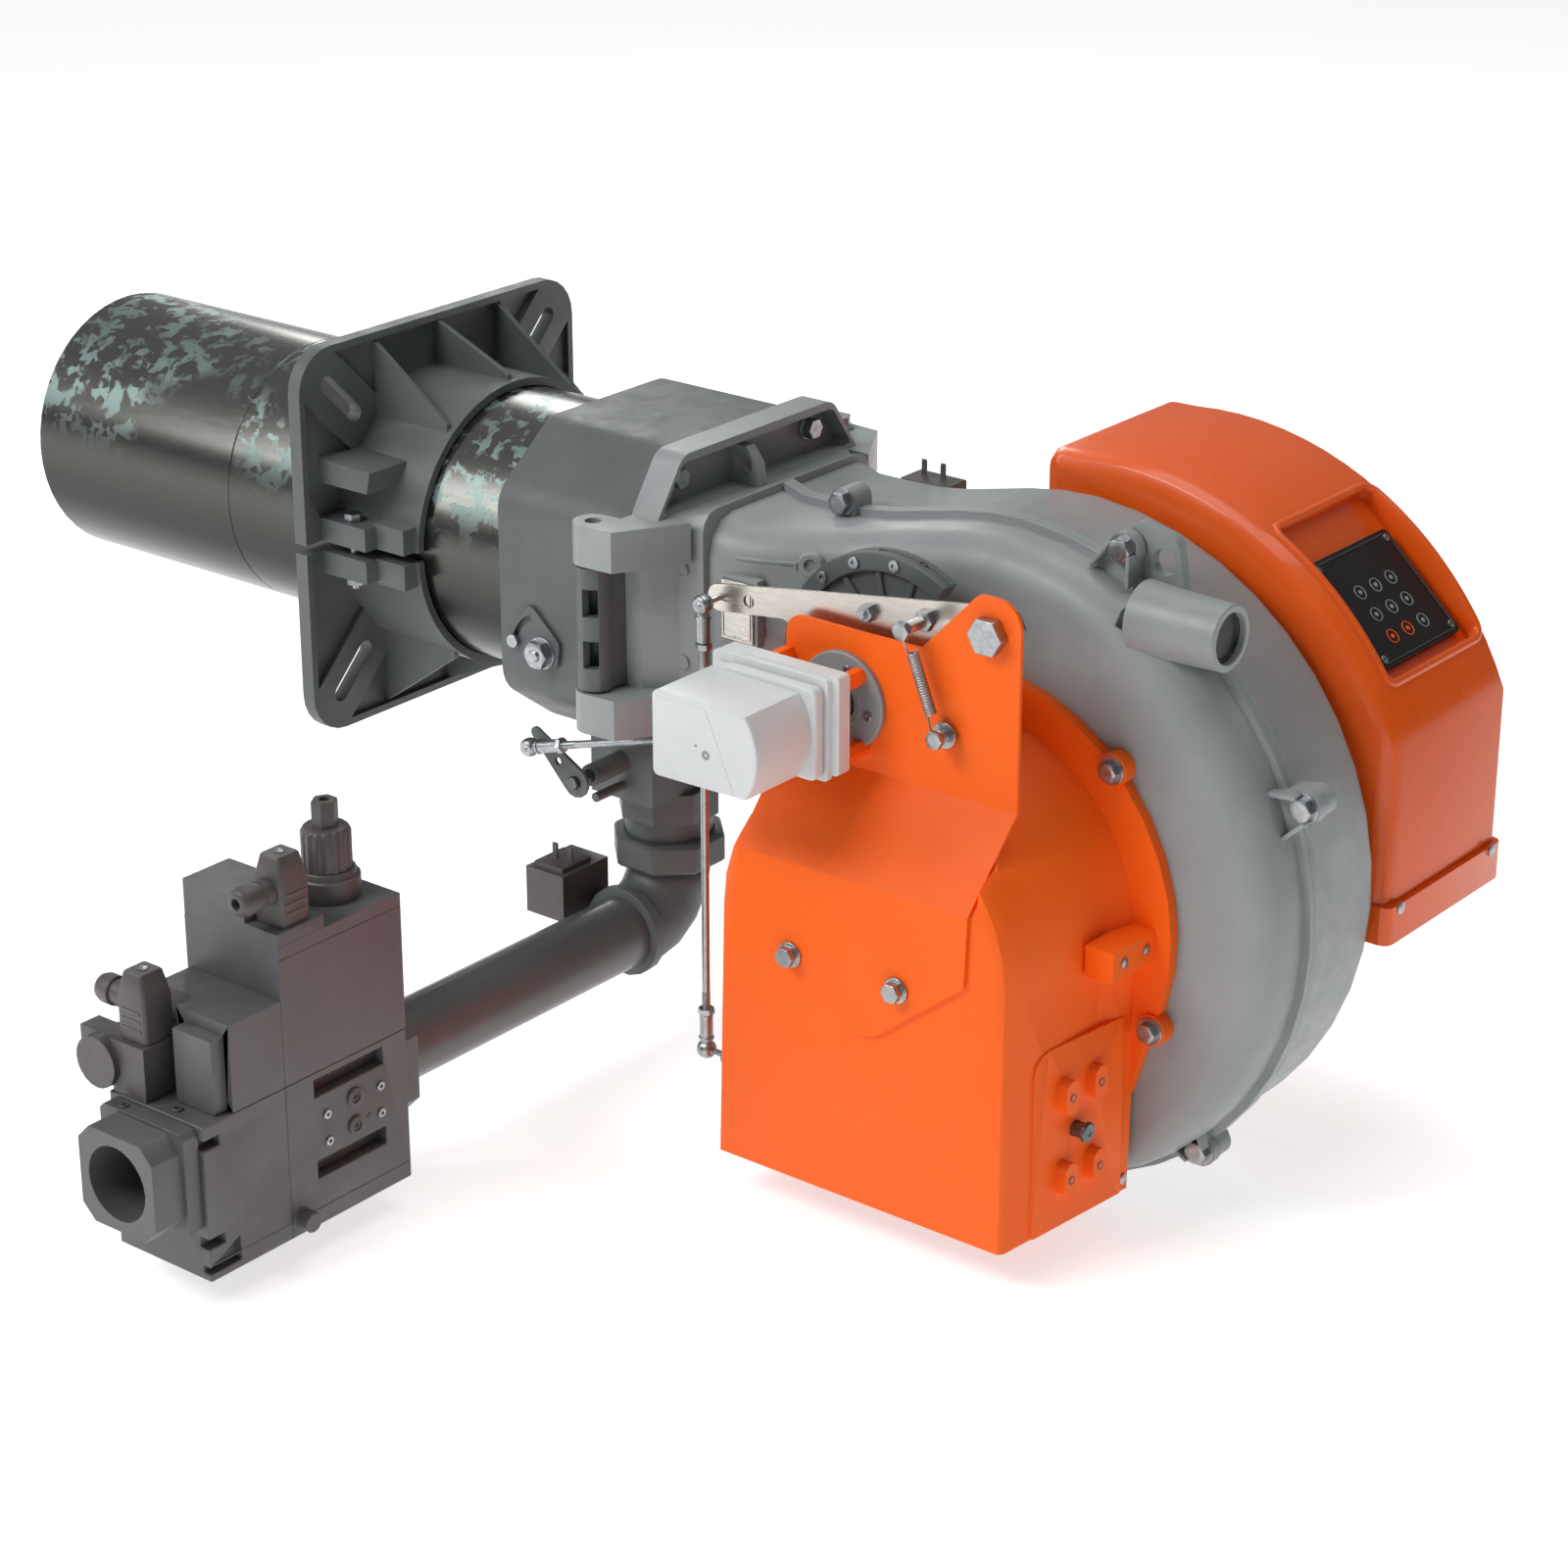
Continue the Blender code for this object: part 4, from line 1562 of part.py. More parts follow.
def hood():
    """The motor's hood: an arched shell with a base band and a recess for the panel."""
    r = HOOD_ROUND
    shell = loft([hood_loop(r, HOOD_NEAR_Y), hood_loop(r * 0.3, HOOD_NEAR_Y + r * 0.3),
                  hood_loop(0.0, HOOD_NEAR_Y + r), hood_loop(0.0, HOOD_FAR_Y - 0.004),
                  hood_loop(0.004, HOOD_FAR_Y)])
    band = prism(rectangle(HOOD_LEFT - 0.003, HOOD_RIGHT + 0.005, HOOD_NEAR_Y - 0.002,
                           HOOD_FAR_Y + 0.004, 0.008, 3), "Z", HOOD_BASE, HOOD_BASE + 0.030)
    shell = add(shell, band)
    backing = prism(rectangle(-0.082, 0.082, -0.078, 0.078), "X", -0.012, 0.004)
    w = HOOD_WALL
    hollow = loft([hood_loop(w + 0.002, HOOD_NEAR_Y + w, HOOD_BASE - 0.01),
                   hood_loop(w, HOOD_NEAR_Y + r, HOOD_BASE - 0.01),
                   hood_loop(w, HOOD_FAR_Y - w, HOOD_BASE - 0.01)])
    hollow = combine(hollow, panel_frame(backing, RECESS_FLOOR + 0.004), "DIFFERENCE")
    shell = cut(shell, hollow)
    recess = prism(rectangle(-0.066, 0.066, -0.070, 0.070, 0.008, 3), "X", 0.0, 0.080)
    shell = cut(shell, panel_frame(recess, RECESS_FLOOR))
    opening = rod("Y", (FAN_X, FAN_Z), MOTOR_RADIUS + 0.003, HOOD_NEAR_Y - 0.01,
                  HOOD_NEAR_Y + 0.02, 32)
    low_cut = box(HOOD_LEFT - 0.05, HOOD_RIGHT + 0.05, 0.0, SCROLL_FAR_DEPTH + FIT, -0.3, 0.2)
    shell = cut(shell, opening)
    for x, z in ((FAN_X - 0.050, 0.040), (FAN_X + 0.150, -0.020), (FAN_X + 0.120, -0.170)):
        shell = add(shell, rod("Y", (x, z), 0.009, SCROLL_FAR_DEPTH + FIT, HOOD_NEAR_Y + 0.003, 12))
    return cut(shell, low_cut)


def control_panel():
    """The black front plate of the control box, in the hood's recess."""
    shape = rectangle(-PANEL_WIDTH / 2.0, PANEL_WIDTH / 2.0, -PANEL_LENGTH / 2.0 - 0.012,
                      PANEL_LENGTH / 2.0 - 0.012, 0.004, 2)
    return panel_frame(prism(shape, "X", FIT, PANEL_THICK), RECESS_FLOOR)


# The whole burner

body("flange", (0.0, 0.0, 0.0))
body("head", (HEAD_FRONT_X, 0.0, 0.0), "flange")
body("mixer", (LANCE_FRONT_X, 0.0, 0.0), "head")
body("adjuster", (ADJUSTER_X, -HEAD_HALF_WIDTH, ADJUSTER_Z), "head")
body("gas_valve_lever", (GAS_X, 0.0, BUTTERFLY_SHAFT_Z), "head")
body("flow_adjuster", (KNOB_X, KNOB_Y, MAIN_COIL_TOP), "head")
body("housing", (HINGE_X, HINGE_Y, 0.0), "head")
body("rotor", (FAN_X, 0.0, FAN_Z), "housing")
body("cam", (CAM_X, CAM_FRONT_Y, CAM_Z), "housing")
body("lever", (LEVER_PIVOT_X, LEVER_FRONT_Y, LEVER_PIVOT_Z), "housing")
body("push_rod", (ROD_X, ROD_Y, LEVER_END_Z), "lever")
body("damper", (FAN_X, DAMPER_Y, DAMPER_Z), "housing")
body("gas_link", (GAS_PIN[0], GAS_PIN_Y, GAS_PIN[1]), "cam")

node("mounting_flange", mounting_flange(), "cast_dark", "flange")
node("clamp_bolt", clamp_bolt(), "zinc", "flange")

SLEEVE = (TUBE_RADIUS, TUBE_RADIUS - TUBE_WALL)
node("blast_tube_front", tube("X", (0.0, 0.0), *SLEEVE, TUBE_TIP_X, TUBE_SEAM_X, 48),
     "galvanised", "head")
node("blast_tube_rear", tube("X", (0.0, 0.0), *SLEEVE, TUBE_SEAM_X + FIT,
                             HEAD_FRONT_X + HEAD_FRONT_WALL, 48), "galvanised", "head")
node("head_casting", head_casting(), "cast_dark", "head")
node("adjuster_lock_screw", adjuster_lock_screw(), "zinc", "head")
node("butterfly_body", butterfly_body(), "cast_dark", "head")
node("pipe_adapter", pipe_adapter(), "cast_dark", "head")
node("union_nut", union_nut(), "cast_dark", "head")
node("elbow", elbow(), "cast_dark", "head")
node("gas_pipe", gas_pipe(), "pipe", "head")
node("gas_pressure_switch", gas_pressure_switch(), "black_plastic", "head")
node("valve_inlet_flange", valve_inlet_flange(), "valve", "head")
node("valve_body", valve_body(), "valve", "head")
node("valve_outlet_flange", valve_outlet_flange(), "valve", "head")
node("main_coil", main_coil(), "valve", "head")
node("safety_coil", safety_coil(), "valve", "head")
node("main_coil_plug", plug_body(GAS_X + 0.030, MAIN_COIL_FRONT_Y + 0.023,
                                 MAIN_COIL_TOP + 0.010 + FIT, "Y"), "black_plastic", "head")
node("valve_pressure_switch", valve_pressure_switch(), "black_plastic", "head")
node("pressure_switch_plug", plug_body(GAS_X - 0.026, -0.541, VALVE_TOP_Z + 0.042 + 2.0 * FIT,
                                       "X"), "black_plastic", "head")
node("damper_base", damper_base(), "black_plastic", "head")

node("gas_lance", gas_lance(), "steel", "mixer")
node("flame_disc", flame_disc(), "steel", "mixer")
node("ignition_electrode", ignition_electrode(), "ceramic", "mixer")
node("adjuster_plate", adjuster_plate(), "cast_dark", "adjuster")
node("gas_butterfly", gas_butterfly(), "steel", "gas_valve_lever")
node("gas_lever", gas_lever(), "cast_dark", "gas_valve_lever")
node("flow_adjuster_cap", flow_adjuster_cap(), "black_plastic", "flow_adjuster")

node("hinge_frame", hinge_frame(), "cast_grey", "housing")
node("hinge_bolt", hinge_bolt(), "zinc", "housing")
node("frame_bolt_near", frame_bolt(-0.082), "zinc", "housing")
node("frame_bolt_far", frame_bolt(0.078), "zinc", "housing")
node("volute_front", volute_front(), "cast_grey", "housing")
node("volute_rear", volute_rear(), "cast_grey", "housing")
node("inspection_plug", inspection_plug(), "black_plastic", "housing")
node("duct_plate", duct_plate(), "nickel", "housing")
node("air_pressure_switch", air_pressure_switch(), "black_plastic", "housing")
node("motor", motor(), "cast_dark", "housing")
node("air_intake", air_intake(), "orange", "housing")
node("servo_bracket", servo_bracket(), "orange", "housing")
node("bracket_bolt_left", bracket_bolt(0.534), "zinc", "housing")
node("bracket_bolt_right", bracket_bolt(0.630), "zinc", "housing")
node("servo_base", servo_base(), "servo_white", "housing")
node("servo_cover", servo_cover(), "servo_white", "housing")
node("lever_pivot_bolt", lever_pivot_bolt(), "zinc", "housing")
node("spring_post", spring_post(), "zinc", "housing")
node("return_spring", return_spring(), "steel", "housing")
node("hood", hood(), "hood_orange", "housing")
node("control_panel", control_panel(), "black_plastic", "housing")

node("impeller", impeller(), "steel", "rotor")
node("motor_shaft", motor_shaft(), "steel", "rotor")
node("cam_disc", cam_disc(), "cast_dark", "cam")
node("cam_ring", cam_ring(), "cast_dark", "cam")
node("air_lever", air_lever(), "nickel", "lever")
node("cam_follower", cam_follower(), "steel", "lever")
node("air_rod", air_rod(), "nickel", "push_rod")
node("damper_blade", damper_blade(), "steel", "damper")
node("damper_crank", damper_crank(), "zinc", "damper")
node("gas_rod", gas_rod(), "nickel", "gas_link")
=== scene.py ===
"""Industrial gas burner: fine surfaces, finishes, studio light and camera."""
import json
import math

import bmesh
import bpy
import numpy as np
from mathutils import Matrix, Vector


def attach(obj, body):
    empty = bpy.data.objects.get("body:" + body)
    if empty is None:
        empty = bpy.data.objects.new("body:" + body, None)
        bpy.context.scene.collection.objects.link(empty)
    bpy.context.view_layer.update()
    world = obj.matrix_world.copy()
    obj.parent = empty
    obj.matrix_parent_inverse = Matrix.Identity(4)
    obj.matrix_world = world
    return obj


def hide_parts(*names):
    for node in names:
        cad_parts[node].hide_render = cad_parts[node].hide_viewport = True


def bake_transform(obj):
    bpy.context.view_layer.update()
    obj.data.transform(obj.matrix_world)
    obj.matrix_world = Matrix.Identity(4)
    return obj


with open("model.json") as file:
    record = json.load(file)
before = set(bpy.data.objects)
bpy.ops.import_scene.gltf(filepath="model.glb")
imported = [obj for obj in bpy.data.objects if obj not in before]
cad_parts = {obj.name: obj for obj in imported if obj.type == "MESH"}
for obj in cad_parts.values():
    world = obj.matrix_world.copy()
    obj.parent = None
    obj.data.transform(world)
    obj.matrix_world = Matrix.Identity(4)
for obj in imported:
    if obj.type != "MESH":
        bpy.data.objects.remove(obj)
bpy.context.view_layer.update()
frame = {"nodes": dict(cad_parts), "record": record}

# Sizes of the burner, in metres, as the solids have them

FAN_X, FAN_Z = 0.592, -0.165
GAS_X = 0.249
CAM_X, CAM_Z = 0.540, -0.001
FLOOR_Z = -0.404


# Finishes

def tone(red, green, blue):
    """An sRGB colour of 0 to 255 as linear light."""
    values = []
    for part in (red, green, blue):
        part = part / 255.0
        values.append(part / 12.92 if part <= 0.04045 else ((part + 0.055) / 1.055) ** 2.4)
    return (*values, 1.0)


class Finish:
    """A Principled material whose colour, roughness and relief are built up in layers."""

    def __init__(self, name, colour, roughness, metallic=0.0, coat=0.0, coat_roughness=0.1,
                 specular=0.5):
        self.material = bpy.data.materials.new(name)
        self.material.use_nodes = True
        self.tree = self.material.node_tree
        self.base = self.tree.nodes["Principled BSDF"]
        self.base.inputs["Base Color"].default_value = colour
        self.base.inputs["Roughness"].default_value = roughness
        self.base.inputs["Metallic"].default_value = metallic
        self.base.inputs["Specular IOR Level"].default_value = specular
        self.base.inputs["Coat Weight"].default_value = coat
        self.base.inputs["Coat Roughness"].default_value = coat_roughness
        self.place = self.tree.nodes.new("ShaderNodeTexCoord").outputs["Object"]
        self.relief = None

    def mapped(self, stretch=(1.0, 1.0, 1.0)):
        """Object coordinates, stretched."""
        node = self.tree.nodes.new("ShaderNodeMapping")
        node.inputs["Scale"].default_value = stretch
        self.tree.links.new(self.place, node.inputs["Vector"])
        return node.outputs["Vector"]

    def noise(self, scale, detail=3.0, rough=0.55, stretch=(1.0, 1.0, 1.0), distortion=0.0):
        """Cloudy noise from 0 to 1, scale cells to the metre."""
        node = self.tree.nodes.new("ShaderNodeTexNoise")
        node.inputs["Scale"].default_value = scale
        node.inputs["Detail"].default_value = detail
        node.inputs["Roughness"].default_value = rough
        node.inputs["Distortion"].default_value = distortion
        self.tree.links.new(self.mapped(stretch), node.inputs["Vector"])
        return node.outputs["Fac"]

    def height(self):
        """The object's own z."""
        node = self.tree.nodes.new("ShaderNodeSeparateXYZ")
        self.tree.links.new(self.place, node.inputs["Vector"])
        return node.outputs["Z"]

    def cells(self, scale):
        """A random value for each cell, scale cells to the metre, for the zinc's spangle."""
        node = self.tree.nodes.new("ShaderNodeTexVoronoi")
        node.inputs["Scale"].default_value = scale
        self.tree.links.new(self.mapped(), node.inputs["Vector"])
        return node.outputs["Color"]

    def graded(self, source, low, high, start=0.0, end=1.0):
        """A value moved from the span low..high to start..end, and held at its ends."""
        node = self.tree.nodes.new("ShaderNodeMapRange")
        node.inputs["From Min"].default_value = low
        node.inputs["From Max"].default_value = high
        node.inputs["To Min"].default_value = start
        node.inputs["To Max"].default_value = end
        self.tree.links.new(source, node.inputs["Value"])
        return node.outputs["Result"]

    def times(self, first, second):
        """The product of two values, either of them a socket or a number."""
        node = self.tree.nodes.new("ShaderNodeMath")
        node.operation = "MULTIPLY"
        for socket, value in zip(node.inputs, (first, second)):
            if isinstance(value, float):
                socket.default_value = value
            else:
                self.tree.links.new(value, socket)
        return node.outputs["Value"]

    def tint(self, share, colour):
        """Lays a colour over the base where share is 1."""
        node = self.tree.nodes.new("ShaderNodeMix")
        node.data_type = "RGBA"
        socket = self.base.inputs["Base Color"]
        if socket.links:
            self.tree.links.new(socket.links[0].from_socket, node.inputs["A"])
        else:
            node.inputs["A"].default_value = socket.default_value
        node.inputs["B"].default_value = colour
        self.tree.links.new(share, node.inputs["Factor"])
        self.tree.links.new(node.outputs["Result"], socket)

    def gloss(self, share, roughness):
        """Moves the roughness to another value where share is 1."""
        node = self.tree.nodes.new("ShaderNodeMix")
        socket = self.base.inputs["Roughness"]
        if socket.links:
            self.tree.links.new(socket.links[0].from_socket, node.inputs["A"])
        else:
            node.inputs["A"].default_value = socket.default_value
        node.inputs["B"].default_value = roughness
        self.tree.links.new(share, node.inputs["Factor"])
        self.tree.links.new(node.outputs["Result"], socket)

    def raised(self, height, depth):
        """Relief of a height, depth metres at its most, over what is there."""
        node = self.tree.nodes.new("ShaderNodeBump")
        node.inputs["Distance"].default_value = depth
        self.tree.links.new(height, node.inputs["Height"])
        if self.relief is not None:
            self.tree.links.new(self.relief, node.inputs["Normal"])
        self.relief = node.outputs["Normal"]
        self.tree.links.new(self.relief, self.base.inputs["Normal"])


def cast_paint(name, colour, shade, roughness, grain):
    """Painted casting: the sand's fine grain, low waves and a little soiling."""
    f = Finish(name, colour, roughness)
    f.tint(f.graded(f.noise(14.0, 4.0), 0.38, 0.66, 0.0, 0.55), shade)
    f.gloss(f.graded(f.noise(60.0, 3.0), 0.35, 0.65), roughness + 0.12)
    f.raised(f.noise(1500.0, 2.0, 0.6), grain)
    f.raised(f.noise(420.0, 2.0, 0.5), grain * 1.2)
    return f.material


def powder_coat(name, colour, shade, roughness, peel, coat=0.0, specular=0.5):
    """Stoved paint with a fine orange peel and a slight drift of tone."""
    f = Finish(name, colour, roughness, coat=coat, coat_roughness=0.06, specular=specular)
    f.tint(f.graded(f.noise(7.0, 3.0), 0.35, 0.70, 0.0, 0.5), shade)
    f.gloss(f.graded(f.noise(45.0, 3.0), 0.35, 0.65), roughness + 0.06)
    f.raised(f.noise(700.0, 2.0, 0.5), peel)
    return f.material


def spangled_steel(name):
    """Hot-dipped sheet: dark bright steel, drawn stripes, clusters of pale zinc flowers, and painted
    shade on its lower side.
    """
    f = Finish(name, tone(112, 113, 109), 0.22, metallic=1.0)
    around = (1.0, 9.0, 9.0)
    f.tint(f.graded(f.noise(9.0, 4.0, 0.6, around), 0.35, 0.70, 0.0, 0.5), tone(106, 107, 104))
    f.gloss(f.graded(f.noise(30.0, 4.0, 0.6, around), 0.35, 0.65), 0.26)
    patches = f.graded(f.noise(55.0, 3.0, 0.6, distortion=0.4), 0.48, 0.55)
    flakes = f.graded(f.cells(150.0), 0.30, 0.34)
    above = f.graded(f.height(), 0.010, 0.045)
    zone = f.times(f.graded(f.noise(7.0, 2.0, 0.5), 0.43, 0.50), above)
    flowers = f.times(f.times(patches, flakes), zone)
    f.tint(f.times(flowers, 0.72), tone(152, 176, 173))
    f.gloss(flowers, 0.45)
    # painted shade: the steel darkens towards the tube's lower side, by height alone
    f.tint(f.graded(f.height(), 0.060, -0.040, 0.0, 0.95), tone(44, 45, 42))
    f.raised(f.noise(900.0, 2.0), 0.00003)
    return f.material


def plated(name, colour, shade, roughness):
    """Zinc or nickel plating with a faint bloom."""
    f = Finish(name, colour, roughness, metallic=1.0)
    f.tint(f.graded(f.noise(160.0, 4.0, 0.6), 0.42, 0.62, 0.0, 0.8), shade)
    f.gloss(f.graded(f.noise(240.0, 3.0), 0.35, 0.65), roughness + 0.15)
    f.raised(f.noise(1400.0, 2.0), 0.00003)
    return f.material


def brushed_plate(name, colour, shade):
    """Stainless sheet with its rolling lines along X."""
    f = Finish(name, colour, 0.24, metallic=1.0)
    lines = f.noise(60.0, 5.0, 0.7, (1.0, 22.0, 22.0))
    f.tint(f.graded(lines, 0.35, 0.65, 0.0, 0.6), shade)
    f.gloss(f.graded(lines, 0.35, 0.65), 0.36)
    f.raised(lines, 0.00003)
    return f.material


def moulded_plastic(name, colour, shade, roughness, grain, coat=0.0):
    """Plastic with the mould's fine grain and a slight drift of tone."""
    f = Finish(name, colour, roughness, coat=coat)
    f.tint(f.graded(f.noise(30.0, 3.0), 0.35, 0.65, 0.0, 0.5), shade)
    f.gloss(f.graded(f.noise(120.0, 2.0), 0.35, 0.65), roughness + 0.08)
    f.raised(f.noise(1800.0, 2.0), grain)
    return f.material


FINISHES = {
    "cast_dark": cast_paint("dark cast paint", tone(94, 99, 100), tone(80, 84, 85), 0.42, 0.00010),
    "cast_grey": cast_paint("grey cast paint", tone(150, 156, 157), tone(136, 142, 143), 0.34,
                            0.00009),
    "galvanised": spangled_steel("galvanised tube steel"),
    "orange": powder_coat("orange powder coat", tone(255, 104, 14), tone(252, 98, 10), 0.50,
                          0.00005, specular=0.3),
    "hood_orange": powder_coat("gloss orange enamel", tone(238, 94, 20), tone(230, 87, 17), 0.26,
                               0.000004, 0.3, 0.35),
    "zinc": plated("zinc plating", tone(176, 180, 182), tone(156, 161, 165), 0.28),
    "nickel": brushed_plate("brushed stainless", tone(214, 208, 200), tone(188, 182, 175)),
    "valve": cast_paint("valve enamel", tone(92, 92, 94), tone(82, 81, 83), 0.36, 0.00004),
    "black_plastic": moulded_plastic("black plastic", tone(84, 80, 79), tone(76, 72, 71), 0.38,
                                     0.00004),
    "panel_black": moulded_plastic("panel film", tone(17, 16, 17), tone(14, 13, 14), 0.42,
                                   0.00001),
    "servo_white": moulded_plastic("white plastic", tone(216, 219, 219), tone(207, 210, 211), 0.32,
                                   0.00002),
    "pipe": powder_coat("dark pipe enamel", tone(90, 94, 95), tone(80, 84, 85), 0.34, 0.00002, 0.2),
    "steel": plated("bare steel", tone(120, 122, 124), tone(96, 98, 100), 0.35),
    "ceramic": moulded_plastic("white ceramic", tone(232, 230, 222), tone(222, 219, 210), 0.18,
                               0.00001, 0.4),
}


# Shapes

def facing_x(u, v, along):
    """Points (along, u, v): an outline that lies across X."""
    return np.stack(np.broadcast_arrays(along, u, v), axis=-1)


def facing_y(u, v, along):
    """Points (u, along, v): an outline that lies across Y."""
    return np.stack(np.broadcast_arrays(u, along, v), axis=-1)


def facing_z(u, v, along):
    """Points (u, v, along): an outline that lies across Z."""
    return np.stack(np.broadcast_arrays(u, v, along), axis=-1)


def skin(points, wrap_rows=False, caps=(False, False)):
    """Four-sided faces over rings of points, with the first and last rings closed if asked."""
    rows, columns = points.shape[:2]
    index = np.arange(rows * columns).reshape(rows, columns)
    ends = [index[0][::-1].tolist() if caps[0] else None, index[-1].tolist() if caps[1] else None]
    if wrap_rows:
        index = np.vstack([index, index[:1]])
    index = np.hstack([index, index[:, :1]])
    quads = np.stack([index[:-1, :-1], index[:-1, 1:], index[1:, 1:], index[1:, :-1]], axis=-1)
    faces = quads.reshape(-1, 4).tolist() + [end for end in ends if end]
    return points.reshape(-1, 3), faces


def unit(vectors):
    """Each vector over its length."""
    vectors = np.asarray(vectors, dtype=float)
    return vectors / np.linalg.norm(vectors, axis=-1, keepdims=True)


def basis(direction):
    """A direction and two unit vectors across it."""
    ahead = unit(direction)
    helper = np.array((0.0, 0.0, 1.0)) if abs(ahead[2]) < 0.9 else np.array((1.0, 0.0, 0.0))
    side = unit(np.cross(helper, ahead))
    return ahead, side, np.cross(ahead, side)


def full_turn(steps):
    """Angles at even steps round a circle."""
    return np.linspace(0.0, 2.0 * math.pi, steps, endpoint=False)


TAN_30 = 0.577
CHAMFER = 0.96
HEX_TURN = 30.0
WASHER_SEAT = 0.0012


def rings(start, direction, d, r, turn=0.0, closed=False):
    """Rings round a line: p = start + d a + r (s cos t + u sin t), d and r by row and by angle."""
    ahead, side, up = basis(direction)
    d, r = np.broadcast_arrays(d, r)
    t = full_turn(r.shape[1]) + math.radians(turn)
    around = side * np.cos(t)[:, None] + up * np.sin(t)[:, None]
    points = np.array(start) + ahead * d[..., None] + around * r[..., None]
    return skin(points, wrap_rows=closed, caps=(not closed, not closed))


def spindle(start, direction, profile, steps=32, closed=False):
    """A profile of (distance, radius) turned round a line."""
    d, r = np.array(profile, dtype=float).T
    return rings(start, direction, d[:, None], np.repeat(r[:, None], steps, axis=1), closed=closed)


def hexagon_radius(t, across_corners):
    """The distance to a hexagon's wall at angle t: r cos 30 / cos of the angle off the flat."""
    fold = (t + math.pi / 6.0) % (math.pi / 3.0) - math.pi / 6.0
    return across_corners * math.cos(math.pi / 6.0) / np.cos(fold)


def hex_head(seat, direction, radius, height):
    """A hexagon whose wall is cut by a 30 degree cone at the top, with a shallow dish."""
    t = full_turn(60)
    wall = hexagon_radius(t, radius)
    flat = radius * math.cos(math.pi / 6.0)
    rim = np.full_like(t, flat * CHAMFER)
    dip = (wall - rim) * TAN_30
    level = np.full_like(t, height)
    return rings(seat, direction, np.stack([0.0 * t, height - dip, level, level - 0.0002]),
                 np.stack([wall, wall, rim, rim * 0.5]), HEX_TURN)


def washer(seat, direction, radius):
    """A flat ring with a softened edge, its hole hidden by the head on it."""
    thick, soft = 0.0014, 0.0003
    return spindle(seat, direction, [(0.0, radius), (thick - soft, radius), (thick, radius - soft),
                                     (thick, radius * 0.5)], 28)


def bolt(seat, direction, radius, height, washer_radius):
    """A washer and a hexagon head on it."""
    raised = np.array(seat) + unit(direction) * WASHER_SEAT
    return [washer(seat, direction, washer_radius), hex_head(raised, direction, radius, height)]


def socket_screw(seat, direction, radius, height, socket=0.5):
    """A round head whose rows pass from its rim to the walls of a hexagonal socket."""
    t = full_turn(48)
    rim = np.full_like(t, radius)
    wall = hexagon_radius(t, radius * socket)
    soft = height * 0.2
    rows = np.stack([rim, rim, rim - soft, wall, wall])
    return rings(seat, direction, np.array([0.0, height - soft, height, height, height * 0.3])[:, None],
                 rows)


def slotted_screw(seat, direction, radius, height):
    """A low domed head: the height falls off with the square of the radius."""
    share = np.linspace(1.0, 0.15, 6)
    domed = [(height * (1.0 - 0.45 * s ** 2), radius * s) for s in share]
    return spindle(seat, direction, [(0.0, radius)] + domed, 28)


def inset(outline, distance):
    """A closed outline moved inwards along the halved angle of its two edges."""
    p = np.asarray(outline, dtype=float)
    ahead = unit(np.roll(p, -1, axis=0) - p)
    behind = np.roll(ahead, 1, axis=0)
    area = np.sum(p[:, 0] * np.roll(p[:, 1], -1) - np.roll(p[:, 0], -1) * p[:, 1])
    turn = 1.0 if area > 0.0 else -1.0
    n0 = np.stack([-behind[:, 1], behind[:, 0]], axis=-1) * turn
    n1 = np.stack([-ahead[:, 1], ahead[:, 0]], axis=-1) * turn
    share = np.maximum(1.0 + np.sum(n0 * n1, axis=1), 0.3)
    return p + (n0 + n1) / share[:, None] * distance


def plate(outline, place, low, high, edge=0.0006, steps=3):
    """An outline carried from low to high. Its rim is a quarter round: inset e(1 - cos t) at e sin t."""
    t = np.linspace(0.0, math.pi / 2.0, steps + 1)
    lean = np.concatenate([(1.0 - np.cos(t))[::-1], 1.0 - np.cos(t)]) * edge
    level = np.concatenate([low + edge - edge * np.sin(t)[::-1], high - edge + edge * np.sin(t)])
    rows = [place(*inset(outline, d).T, h) for d, h in zip(lean, level)]
    return skin(np.array(rows), caps=(True, True))


def border(outline, place, low, high, width):
    """A raised line along an outline, with a flat top and sloping sides."""
    slope = width * 0.25
    loops = ((0.0, low), (slope, high), (width - slope, high), (width, low))
    rows = [place(*inset(outline, d).T, h) for d, h in loops]
    return skin(np.array(rows), wrap_rows=True)


def arc(centre, radius, start, end, steps):
    """Points along an arc, in degrees, both ends included."""
    a = np.radians(np.linspace(start, end, steps + 1))
    return np.stack([centre[0] + radius * np.cos(a), centre[1] + radius * np.sin(a)], axis=-1)


def disc(centre, radius):
    """A circle's outline, without its first point again at the end."""
    steps = 28
    return arc(centre, radius, 0.0, 360.0 - 360.0 / steps, steps - 1)


def round_box(u0, u1, v0, v1, radius, steps=5):
    """A rectangle with round corners."""
    corners = ((u1 - radius, v1 - radius, 0.0), (u0 + radius, v1 - radius, 90.0),
               (u0 + radius, v0 + radius, 180.0), (u1 - radius, v0 + radius, 270.0))
    return np.concatenate([arc((u, v), radius, a, a + 90.0, steps) for u, v, a in corners])


def capsule(first, last, radius, steps=8):
    """The outline round a straight stroke from first to last."""
    heading = math.degrees(math.atan2(last[1] - first[1], last[0] - first[0]))
    return np.concatenate([arc(last, radius, heading - 90.0, heading + 90.0, steps),
                           arc(first, radius, heading + 90.0, heading + 270.0, steps)])


